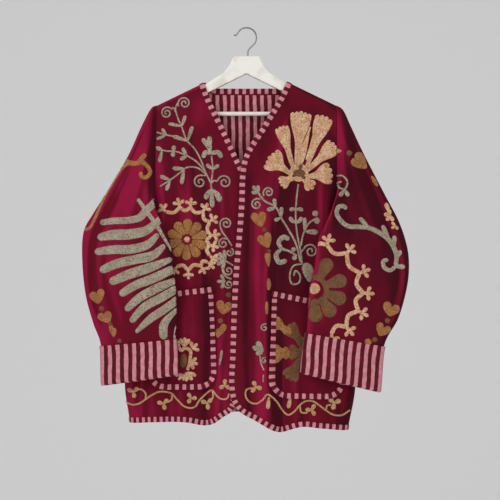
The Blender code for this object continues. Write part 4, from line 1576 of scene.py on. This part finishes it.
def left_front_sprig() -> list[Band]:
    """The grey sprig with curls and an iris, high on the left front."""
    grey = run((175, 108.3), (177.7, 117.7), (181.8, 127.2), (187.2, 140.7), (194.6, 148.8), (200.7, 159.6),
               (205.4, 171.8), (211.4, 184))
    grey += spiral(166.6, 112.6, 6.6, -28, -1.7) + spiral(184.3, 102.8, 6.9, 150, 1.7)
    grey += run((175.4, 112), (174, 108), (171.5, 106.8)) + run((175, 109), (176.8, 104), (178.6, 101))
    grey += spray((181.8, 126), (168.3, 123.4, 3.7), (185.4, 115.3, 3.9))
    grey += spray((187.8, 141), (172.8, 136, 4.2), (192.4, 126.2, 4.0))
    grey += run((173.5, 136.4), (165.5, 134.6), (156.5, 132))
    grey += leaf((166.5, 135), (161.8, 128.3), 3.4) + leaf((166, 135), (156.5, 139), 3.4)
    grey += run((205.4, 171.8), (197.3, 162.3), (186.5, 155.6), (175.7, 151.5), (164.9, 150.8), (156, 148))
    grey += spray((187, 155.8), (182.3, 147.8, 3.9), (180.2, 159.6, 4.2))
    grey += spray((173.6, 151), (174, 145.4, 5), (172.7, 157, 5))
    grey += leaf((163, 151), (156, 147), 4.4) + leaf((162, 151), (159.3, 162.3), 4.2)
    grey += run((207, 175), (197.3, 167.9), (186.5, 167.7), (179.7, 173), (170.3, 180), (160, 186.5))
    grey += leaf((184.5, 168.8), (172.6, 168.2), 4.4) + leaf((184, 169), (181.6, 184.2), 4.4)
    grey += spray((170.3, 180), (160, 176, 4.2), (166.2, 190.6, 4.2))
    grey += spiral(200.2, 182, 7.2, -62, -1.55) + run((206.6, 174.6), (205.4, 175.4), (203.6, 175.6))
    grey += spiral(224.6, 182.2, 7.4, 190, 1.6) + run((211, 184), (214, 180.6), (217.4, 181.4))
    grey += run((211, 184), (212.8, 170.4), (211.5, 155.6))
    grey += leaf((210.2, 152), (202.4, 138.6), 5, 0.06) + leaf((210.8, 152), (209.7, 136.2), 5.2, -0.04)
    grey += run((211, 153.4), (205.4, 152.6), (203.2, 158), w=(4, 5, 4.6))
    grey += run((211, 153.4), (218.4, 152.6), (221.8, 157.8), w=(4, 5, 4.8))
    grey += spray((212.8, 169.4), (206.2, 164.4, 3.9), (219, 164.8, 3.9))
    grey += spray((211.5, 189.5), (205.6, 199.4, 5.4, 0.1), (212.4, 207.4, 5.2), (220.6, 201.6, 6.4, -0.1))
    grey += run((211, 184), (211.6, 190))
    grey += run((232, 246), (227, 238), (221.4, 230), (220, 224.5))
    grey += spiral(226.2, 223.6, 6.4, 170, 1.6) + spiral(223.4, 243.6, 5.8, -48, -1.5)
    grey += spiral(229.7, 252.4, 4.6, -70, 1.4, 1.7) + spiral(228.6, 270.4, 5.4, 200, -1.4)
    grey += spiral(228.6, 284, 5.2, 230, -1.5) + run((226, 261), (233.5, 265.4))
    grey += run((224.4, 262.5), (222.4, 270), (226, 276.5), (231.8, 279))
    grey += clover(225.6, 259.6, 10, 186, 5, 150, 0.4) + clover(224.4, 281.2, 7.6, 178, 3, 130, 0.5)
    return grey


def wreath(centre: Spot, crowns: list[tuple[float, float]], r: float, w: float, knob: float) -> list[Band]:
    """A thorny wreath: arcs that sag inwards between crowns of three knobs.

    Args:
        centre: the middle of the wreath.
        crowns: the angle and the reach of each crown, in order.
        r: how far an arc sags, in picture pixels.
        w: the arcs' width.
        knob: how far a crown's knobs reach.

    Returns:
        Its runs.
    """
    made = []
    feet = []
    for angle, reach in crowns:
        way = (math.cos(math.radians(angle)), math.sin(math.radians(angle)))
        foot = (centre[0] + reach * way[0], centre[1] + reach * way[1])
        feet.append(foot)
        crown = (foot[0] + 0.55 * knob * way[0], foot[1] + 0.55 * knob * way[1])
        made += run(foot, crown, w=0.9 * w) + clover(*crown, knob, angle, 3, 140, 0.56)
    for one, other in zip(feet[:-1], feet[1:]):
        middle = ((one[0] + other[0]) / 2, (one[1] + other[1]) / 2)
        reach = math.dist(middle, centre)
        share = r / reach
        sag = (middle[0] + (centre[0] - middle[0]) * share, middle[1] + (centre[1] - middle[1]) * share)
        made += run(one, sag, other, w=w)
    return made


def left_front_work() -> Work:
    """The sprig, the daisy in its wreath, the hearts and the hem's vine of the left front."""
    centre = (187.2, 239.4)
    ring = [(-128, 35), (-103, 33), (-84, 32), (-60, 32), (-38, 28.5), (-9, 24), (14, 23), (36, 28)]
    peach = wreath(centre, ring, 3.2, 3.6, 6.4)
    low = [(112, 29.5), (88, 31), (62, 30), (47, 31)]
    peach += wreath(centre, low, 3.4, 3.6, 5.8) + disc(*centre, 3.0)
    ochre = daisy(*centre, 5.2, 20.5, 9.2, np.arange(10) * 36 - 88)
    ochre += heart((220.2, 303.6), (229, 305.5), (222.4, 314), 8)
    ochre += heart((218.6, 330.6), (223.4, 327.4), (217.2, 337.4), 6.2)
    brown = disc(228.5, 294.7, 2.8) + disc(220.3, 320.6, 2.7)
    grey = left_front_sprig() + leaf((219.4, 365), (222, 350), 3)
    tan = run((125, 402), (132.8, 404.4), (139.7, 403), (145.7, 399), (152.6, 394.3), (159.5, 391.3),
              (166.4, 391.5), (172, 393.4), (176.7, 398.6), (185.3, 406.4), (190.5, 407.7), (195.3, 406.4),
              (198.6, 401.2), (204.3, 395.2), (212.5, 390.4), (216, 394.8), (221.6, 398.8), (227, 398.2),
              (229.4, 393))
    tan += run((145.7, 399), (145.9, 393.4), (142.4, 389.4), (137.4, 388.6)) + clover(133.6, 391.4, 6.4, 200)
    tan += run((172, 393.4), (171.8, 399), (167.4, 402)) + clover(163.6, 403.2, 6.4, 75)
    tan += clover(191, 397.8, 6, 0) + clover(207.2, 403, 6.6, 80) + run((212.5, 391), (213, 397), (209, 402))
    tan += clover(225, 385, 6.2, -90)
    return {Thread.GREY: grey, Thread.PEACH: peach, Thread.OCHRE: ochre, Thread.BROWN: brown,
            Thread.TAN: tan}


def left_pocket_work() -> Work:
    """The half wreath on the left pocket."""
    peach = run((181, 351), (184.6, 347.8), (190.5, 350.6), (190.4, 357), (189.7, 363), (187.4, 370), w=3.6)
    peach += clover(184.6, 346, 9, -88, 3, 66, 0.46) + clover(192.4, 348.4, 7.4, -45, 3, 110, 0.5)
    peach += clover(191.2, 362, 7.2, 15, 3, 110, 0.5) + clover(187.6, 371.6, 9.4, 78, 4, 110, 0.44)
    peach += clover(182, 373.4, 7, 118, 3, 90, 0.46) + run((178.6, 340), (179.6, 348), (181, 351), w=3)
    brown = run((184.2, 353.4), (183.6, 360), (183.2, 367), w=(5, 7, 5))
    return {Thread.PEACH: peach, Thread.BROWN: brown}


def right_front_flower() -> list[Band]:
    """The great fan flower high on the right front."""
    peach = fan((296.4, 168), (301.4, 111), 4.6, 21, 5) + fan((306.6, 167), (325.4, 115), 4.2, 18, 4)
    peach += fan((306.6, 171), (336, 144), 4.4, 17, 4) + fan((306, 177), (333, 172.6), 4, 21, 4)
    peach += fan((293.4, 169.4), (281, 126), 4, 14, 4) + fan((290, 174), (268.2, 157), 4, 23, 5)
    peach += fan((295, 176), (279.4, 184.6), 5.4, 13, 4) + fan((302, 176.4), (313.4, 189), 5, 12.5, 3)
    peach += run((299.6, 166.5), (304.4, 147), (310.4, 126.8), w=(3.4, 6.4, 6, 3.4, 1.2))
    peach += run((306.4, 160), (311.4, 146), (313, 135), w=(3, 4, 1.4)) + disc(298.8, 172.6, 9.4)
    return peach


def right_front_sprig() -> list[Band]:
    """The grey stems, leaves and curls below the fan flower."""
    grey = run((298.2, 184), (296.2, 202.3), (295.6, 216.7), (296.9, 232.4), (300.2, 249.5), (302.1, 264))
    grey += spray((296, 209.6), (289.4, 210.4, 4, 0.15), (303, 210.6, 4, -0.15))
    grey += spray((296, 223), (289.4, 217, 4.4, -0.1), (302.2, 217, 4.6, 0.1))
    grey += run((300.6, 262.5), (295.6, 243), (287.7, 228.5), (281.2, 218), (276, 207.6), (264.2, 200.6),
                (257.6, 191.9), w=2)
    grey += spray((280.7, 218), (281.4, 207, 4.2), (274, 220.6, 3.8))
    grey += spray((275.4, 207.8), (274, 198.6, 4), (267, 210, 4.4))
    grey += spray((258.6, 193), (252.6, 186, 3.8), (251.4, 192.2, 4), (257.8, 185.4, 3.8))
    grey += spiral(268.6, 192.6, 5.8, 140, 1.6) + spiral(256.8, 204.4, 6.2, -50, -1.6)
    grey += run((300.8, 246), (303.4, 233.7), (309.5, 222.6), (317.8, 217.5))
    grey += leaf((304.4, 231), (304.8, 217.6), 3.9) + leaf((305.4, 231.4), (318, 232.2), 5.4)
    grey += disc(315.2, 213.4, 3) + disc(317, 220.8, 3)
    grey += spiral(310.8, 251.2, 7.6, 196, 1.6) + run((301, 252), (303.6, 249))
    grey += run((289.4, 239.4), (283.6, 237), (278.6, 242.4), (281.2, 248), (288.4, 250.8), (297, 255.8),
                w=(4.4, 5, 4.6, 3, 2, 2))
    grey += run((281.4, 248.6), (276, 255), (279, 262), (286.8, 260.4), w=(3, 4.8, 5, 4.6))
    grey += disc(293.4, 249.4, 2.4) + disc(294.4, 257.6, 2.4)
    grey += run((302, 264), (294, 265.4), (290, 273), (292.6, 284), (298.4, 283), (299.8, 274.6),
                (295.4, 270.6), (293.6, 276), w=1.8)
    grey += run((304.6, 263), (308.4, 272), (309.6, 282), w=(8, 11, 9, 3))
    return grey


def right_front_work() -> Work:
    """The fan flower, the sprigs, the hearts and the hem's vine of the right front."""
    brown = clover(299.4, 172.4, 8.6, -80, 3, 260) + disc(299.2, 173, 6)
    brown += disc(264.2, 229.8, 2.2) + disc(269.2, 250.8, 1.6)
    ochre = heart((254.6, 216.6), (262.2, 215.4), (261.4, 227), 7.6)
    ochre += heart((260.8, 239), (267.4, 236), (268.6, 247.6), 7.4)
    ochre += heart((266.6, 256.4), (268.6, 256), (268.6, 266.4), 4)
    ochre += run((268.4, 278), (268.8, 284), (268.4, 290), w=(2.4, 4.4, 2.4))
    ochre += run((266.8, 301), (266.6, 307), (266.8, 314), w=(2, 3.4, 2))
    grey = right_front_sprig() + spiral(264.4, 327.4, 4.2, -60, -1.3, 1.6)
    grey += spray((263, 351.6), (257.2, 341, 5.6), (252.6, 346.4, 5), (256, 353.4, 5))
    grey += run((259.9, 355), (261.2, 363.2), (264, 369.6), w=1.6)
    grey += spiral(264.2, 360, 3.4, -60, -1.2, 1.4) + run((263.4, 374), (263.2, 381.5), w=1.5)
    tan = run((252, 387.3), (246.4, 389.4), (245.6, 395.4), (249.6, 401.4), (255.9, 403.2), (262, 399.6),
              (267.9, 393.6), (272.4, 396.6), (277.3, 402), (282.6, 410.2), (288, 414.6), (294.3, 411.2),
              (299.6, 404.8), (305.9, 400.7), (312, 400.5), (318.4, 404.3), (325.5, 409.6), (332.6, 414),
              (340.7, 415), (350, 410))
    tan += clover(255.6, 386.6, 6.6, 10) + clover(311.6, 409.4, 6.4, 60) + clover(334, 402.4, 7, -20)
    tan += run((299.8, 405), (301.4, 412), (307.6, 412.4)) + run((325.8, 409), (327.2, 405), (331, 404.4))
    tan += leaf((269, 396), (267.6, 408), 4) + leaf((290.6, 396), (288.2, 408), 4.2)
    return {Thread.PEACH: right_front_flower(), Thread.BROWN: brown, Thread.OCHRE: ochre, Thread.GREY: grey,
            Thread.TAN: tan}


def right_pocket_work() -> Work:
    """The fan petals on the right pocket, brown at their root and ochre at their tips."""
    brown = fan((306, 347), (287, 324.6), 8, 15, 4) + fan((306, 352), (287, 351.6), 9, 14, 3)
    brown += fan((301, 357), (288, 379.6), 5, 17, 4)
    brown += run((304, 340), (302, 350), (301, 362), w=(5, 6, 3))
    ochre = fan((291, 333), (272, 320), 7, 13, 4) + fan((290, 352.4), (270.6, 353.4), 10, 18, 4)
    return {Thread.BROWN: brown, Thread.OCHRE: ochre}


def right_sleeve_work() -> Work:
    """The thorny wreath round its daisy, the scroll and the hearts of the right sleeve."""
    centre = (313.4, 288)
    ring = [(-74, 45), (-47.5, 47.5), (-19, 47.5), (5, 48.4), (27, 48.6), (50, 49), (70, 48)]
    peach = wreath(centre, ring, 5.0, 4.4, 7.4)
    peach += run((314, 244.4), (320, 243.6), (326, 244.8), w=4.4) + disc(*centre, 5.6)
    peach += leaf((388.4, 212), (385.4, 203), 5) + clover(389.6, 215.6, 6.4, 160, 4, 200)
    peach += clover(394.6, 225.4, 5, 140, 3, 160)
    brown = daisy(*centre, 10, 33, 14, np.array([-63, -17, 21, 55, 88, 122]))
    brown += run((312, 276), (321, 280), (325.4, 288), (322.6, 298), (313, 301.4), w=5)
    brown += disc(348.9, 153.4, 2.8) + disc(385.8, 319.6, 2.6) + disc(373, 338.4, 2.6)
    ochre = heart((358.8, 156.4), (354.6, 162.4), (366.4, 168), 9)
    ochre += heart((385.6, 304.4), (394.6, 307.6), (387.6, 315.2), 8.4)
    ochre += heart((378.4, 324.6), (386, 328.4), (378, 334.6), 7.2)
    ochre += run((371.2, 176), (374.6, 181.6), (377.4, 186.6), w=(2, 4, 2)) + disc(366.4, 341, 3.6)
    tan = run((329.6, 151), (335, 150.8), (341.6, 151.4), w=(14, 11, 5, 1.5))
    grey = run((330.8, 184.2), (334.9, 177), (341.4, 176.2), (346.6, 182.4), (343.8, 189.4), (338.6, 188.2),
               (337, 183.6), (341, 182.2))
    grey += run((330.8, 184.2), (334, 191), (330.8, 196.6), (324, 197.8)) + leaf((330, 190), (325, 190.6), 3)
    grey += spray((344, 190), (338.4, 196.8, 4.2), (347.6, 196.8, 4.2))
    grey += run((345.6, 209.6), (342.6, 206.8), (337.8, 207.2), (335.3, 212.4), (338.9, 220.2),
                (346.9, 226.3), (357.6, 227),
                (367, 227.8), (376.4, 231.8), (385.8, 237.9), (392.5, 247.2), (395.4, 256.6),
                (394, 266), w=(4.4, 4.6, 4.6, 4.6, 5, 5, 4.6))
    grey += leaf((393, 266), (403.6, 266.6), 5) + leaf((368, 228), (358.2, 218), 4.6)
    grey += leaf((388, 239), (381.2, 225.4), 4.8) + leaf((392.8, 248.5), (393.6, 235.6), 4.8)
    grey += leaf((395.2, 258.4), (399.8, 250.4), 4.6)
    grey += run((394, 266.6), (388, 270), (382.4, 266.6), (382, 261), (386.8, 259.6), w=4.2)
    return {Thread.PEACH: peach, Thread.BROWN: brown, Thread.OCHRE: ochre, Thread.TAN: tan,
            Thread.GREY: grey}


@dataclass
class Embroidery:
    """Chain stitch laid on the velvet, one mesh for each panel and colour of thread."""

    cloth: Cloth
    panels: dict[str, Piece]
    picture: Picture = Picture()
    height: float = 1.15
    sunk: float = 0.35
    step: float = 1.6
    lane: float = 3.4
    ray_y: float = -0.5
    colour_lift: float = 0.28
    run_lift: float = 0.012
    run_lifts: int = 9
    fine: int = 160
    least: int = 7
    tip: float = 0.03

    def build(self) -> None:
        """Lays every panel's work on it."""
        works = {
            "left_sleeve": left_sleeve_work(),
            "left_front": left_front_work(),
            "left_pocket": left_pocket_work(),
            "right_front": right_front_work(),
            "right_pocket": right_pocket_work(),
            "right_sleeve": right_sleeve_work(),
        }
        graph = bpy.context.evaluated_depsgraph_get()
        for name, work in works.items():
            ground = BVHTree.FromObject(self.panels[name], graph)
            for order, (thread, bands) in enumerate(work.items()):
                self.lay(name, thread, bands, ground, self.colour_lift * order)

    def lay(self, name: str, thread: Thread, bands: list[Band], ground: BVHTree, lift: float) -> None:
        """Builds the work in one colour on one panel.

        Args:
            name: the panel's node.
            thread: the colour.
            bands: the runs of stitching.
            ground: the panel's surface.
            lift: how much higher than its neighbours' the work lies.
        """
        bm = bmesh.new()
        layer = bm.loops.layers.uv.new("flat")
        for number, band in enumerate(bands):
            self.stitch(bm, layer, band, ground, lift + self.run_lift * (number % self.run_lifts))
        piece = link_mesh(f"{name}_{thread.value}_stitching", bm, self.cloth.threads[thread])

    def stations(self, band: Band) -> tuple[Points, Points, Points]:
        """Even stations along a band.

        Args:
            band: the run of stitching.

        Returns:
            Their places in millimetres, their half widths, and their lengths along the band.
        """
        spots = self.picture.place(np.array(band.line, float))
        knots = lengths(spots)
        fine = spline(knots, spots, np.linspace(0, knots[-1], self.fine)) if len(spots) > 2 else spots
        end = lengths(fine)[-1]
        widths = np.array(band.widths) * self.picture.pixel / 2
        count = max(int(end / self.step), self.least)
        even = end * (1 - np.cos(np.linspace(0, math.pi, count + 1))) / 2
        even = 0.5 * even + 0.5 * np.linspace(0, end, count + 1)
        line = on_line(fine, even)
        if len(widths) > 2:
            half = spline(np.linspace(0, end, len(widths)), widths, even)
        else:
            half = np.interp(even, [0, end], widths)
        for near in (even, end - even):
            cap = np.minimum(half, end / 2)
            half = half * np.sqrt(np.clip(1 - (1 - np.clip(near / cap, self.tip, 1.0)) ** 2, 0, 1))
        return line, half, even

    def stitch(
        self, bm: bmesh.types.BMesh, layer: bmesh.types.BMLayerItem, band: Band, ground: BVHTree, lift: float
    ) -> None:
        """Adds one run of stitching to a mesh, laid on the panel as seen from the front."""
        line, half, even = self.stations(band)
        aside = square_to(line)
        lanes = max(5, 2 * int(half.max() / self.lane) + 5)
        shares = np.sin(np.linspace(-math.pi / 2, math.pi / 2, lanes))
        made = bmesh.ops.create_grid(bm, x_segments=len(line) - 1, y_segments=lanes - 1, size=1.0)["verts"]
        flat: dict[bmesh.types.BMVert, Spot] = {}
        missed = []
        for row, share in enumerate(shares):
            rise = self.height * (1 - share**4) - self.sunk * share**4 + lift
            at = line + aside * (half * share)[:, None]
            for column, (x, z) in enumerate(at):
                vert = made[row * len(line) + column]
                hit, normal, _, _ = ground.ray_cast(Vector((x * MM, self.ray_y, z * MM)), Vector((0, 1, 0)))
                if hit is None:
                    missed.append(vert)
                    continue
                vert.co = hit + normal * rise * MM
                flat[vert] = (even[column] * MM, share * half[column] * MM)
        bmesh.ops.delete(bm, geom=missed, context="VERTS")
        for vert, uv in flat.items():
            for loop in vert.link_loops:
                loop[layer].uv = uv


@dataclass
class Hanger:
    """The wooden hanger with its bar and steel hook, which keep their own shapes."""

    def dress(self, frame: dict) -> None:
        """Gives each of the hanger's nodes its finish.

        Args:
            frame: the loaded frame.
        """
        wood = WoodFinish()
        finishes = {
            "hanger_body": wood.material("white_wood", True),
            "hanger_bar": wood.material("white_wood_bar", False),
            "hanger_hook": SteelFinish().material(),
        }
        for name, material in finishes.items():
            for slot in frame["nodes"][name].material_slots:
                slot.material = material
            LOG.info("%s: dressed", name)


@dataclass(frozen=True)
class Studio:
    """The plain pale room, its lights and the camera."""

    pale: Colour = srgb("e9e9e9")
    floor_z: float = -2.4
    wall_y: float = 4.4
    glow: float = 0.125
    distance: float = 3.2
    look_at: tuple[float, float] = (0.0084, -0.535)
    lens: float = 95.4
    world_grey: float = 0.8
    world_strength: float = 0.56
    half: float = 9.0

    def build(self) -> None:
        """Builds the stage, the lights and the camera."""
        self.plane("floor", self.floor_z, 0.0, False)
        self.plane("backdrop", 0.0, self.wall_y, True)
        self.light("key", (-1.5, -2.4, 0.9), 2.2, 36.0)
        self.light("fill", (1.8, -2.6, -0.3), 2.6, 17.0)
        self.light("low", (0.0, -2.6, -1.3), 2.0, 9.0)
        self.light("above", (0.0, -0.2, 1.7), 2.5, 9.0)
        world = bpy.data.worlds.new("studio")
        world.use_nodes = True
        sky = world.node_tree.nodes["Background"].inputs
        sky["Color"].default_value = (self.world_grey, self.world_grey, self.world_grey, 1.0)
        sky["Strength"].default_value = self.world_strength
        bpy.context.scene.world = world
        bpy.context.scene.view_settings.view_transform = "Standard"
        self.camera()

    def plane(self, name: str, z: float, y: float, upright: bool) -> None:
        """A wide plain surface of the stage."""
        bm = bmesh.new()
        bmesh.ops.create_grid(bm, x_segments=1, y_segments=1, size=self.half)
        for vert in bm.verts:
            across, along = vert.co.x, vert.co.y
            vert.co = Vector((across, y, along)) if upright else Vector((across, along, z))
        mesh = bpy.data.meshes.new(name)
        bm.to_mesh(mesh)
        bm.free()
        g = Graph(name)
        g.set(Base_Color=self.pale, Roughness=0.95, Specular_IOR_Level=0.05)
        g.set(Emission_Color=self.pale, Emission_Strength=self.glow)
        mesh.materials.append(g.material)
        piece = bpy.data.objects.new(name, mesh)
        bpy.context.scene.collection.objects.link(piece)

    def light(self, name: str, place: tuple[float, float, float], size: float, power: float) -> None:
        """A square soft light that looks at the jacket."""
        lamp = bpy.data.lights.new(name, "AREA")
        lamp.size = size
        lamp.energy = power
        made = bpy.data.objects.new(name, lamp)
        made.location = place
        aim = Vector((0.0, 0.0, self.look_at[1])) - Vector(place)
        made.rotation_euler = aim.to_track_quat("-Z", "Y").to_euler()
        bpy.context.scene.collection.objects.link(made)

    def camera(self) -> None:
        """The camera, level and straight in front."""
        data = bpy.data.cameras.new("camera")
        data.lens = self.lens
        data.sensor_width = 36.0
        data.clip_end = 50.0
        made = bpy.data.objects.new("camera", data)
        made.location = (self.look_at[0], -self.distance, self.look_at[1])
        made.rotation_euler = (math.radians(90), 0.0, 0.0)
        bpy.context.scene.collection.objects.link(made)
        bpy.context.scene.camera = made


def main() -> None:
    """Builds every piece in order."""
    logging.basicConfig(level=logging.INFO, format="%(message)s", stream=sys.stdout)
    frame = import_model()
    Studio().build()
    form = BodyForm()
    cloth = Cloth()
    body = Body(form, cloth)
    body.build()
    Binding(form, cloth).build()
    sewn_on = [Sleeve(SleeveForm(side), cloth) for side in WORDS]
    sewn_on += [Pocket(form, shape, cloth) for shape in POCKETS]
    for part in sewn_on:
        body.panels[part.name] = part.build()
    Embroidery(cloth, body.panels).build()
    Hanger().dress(frame)
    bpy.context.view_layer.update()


if __name__ == "__main__":
    main()
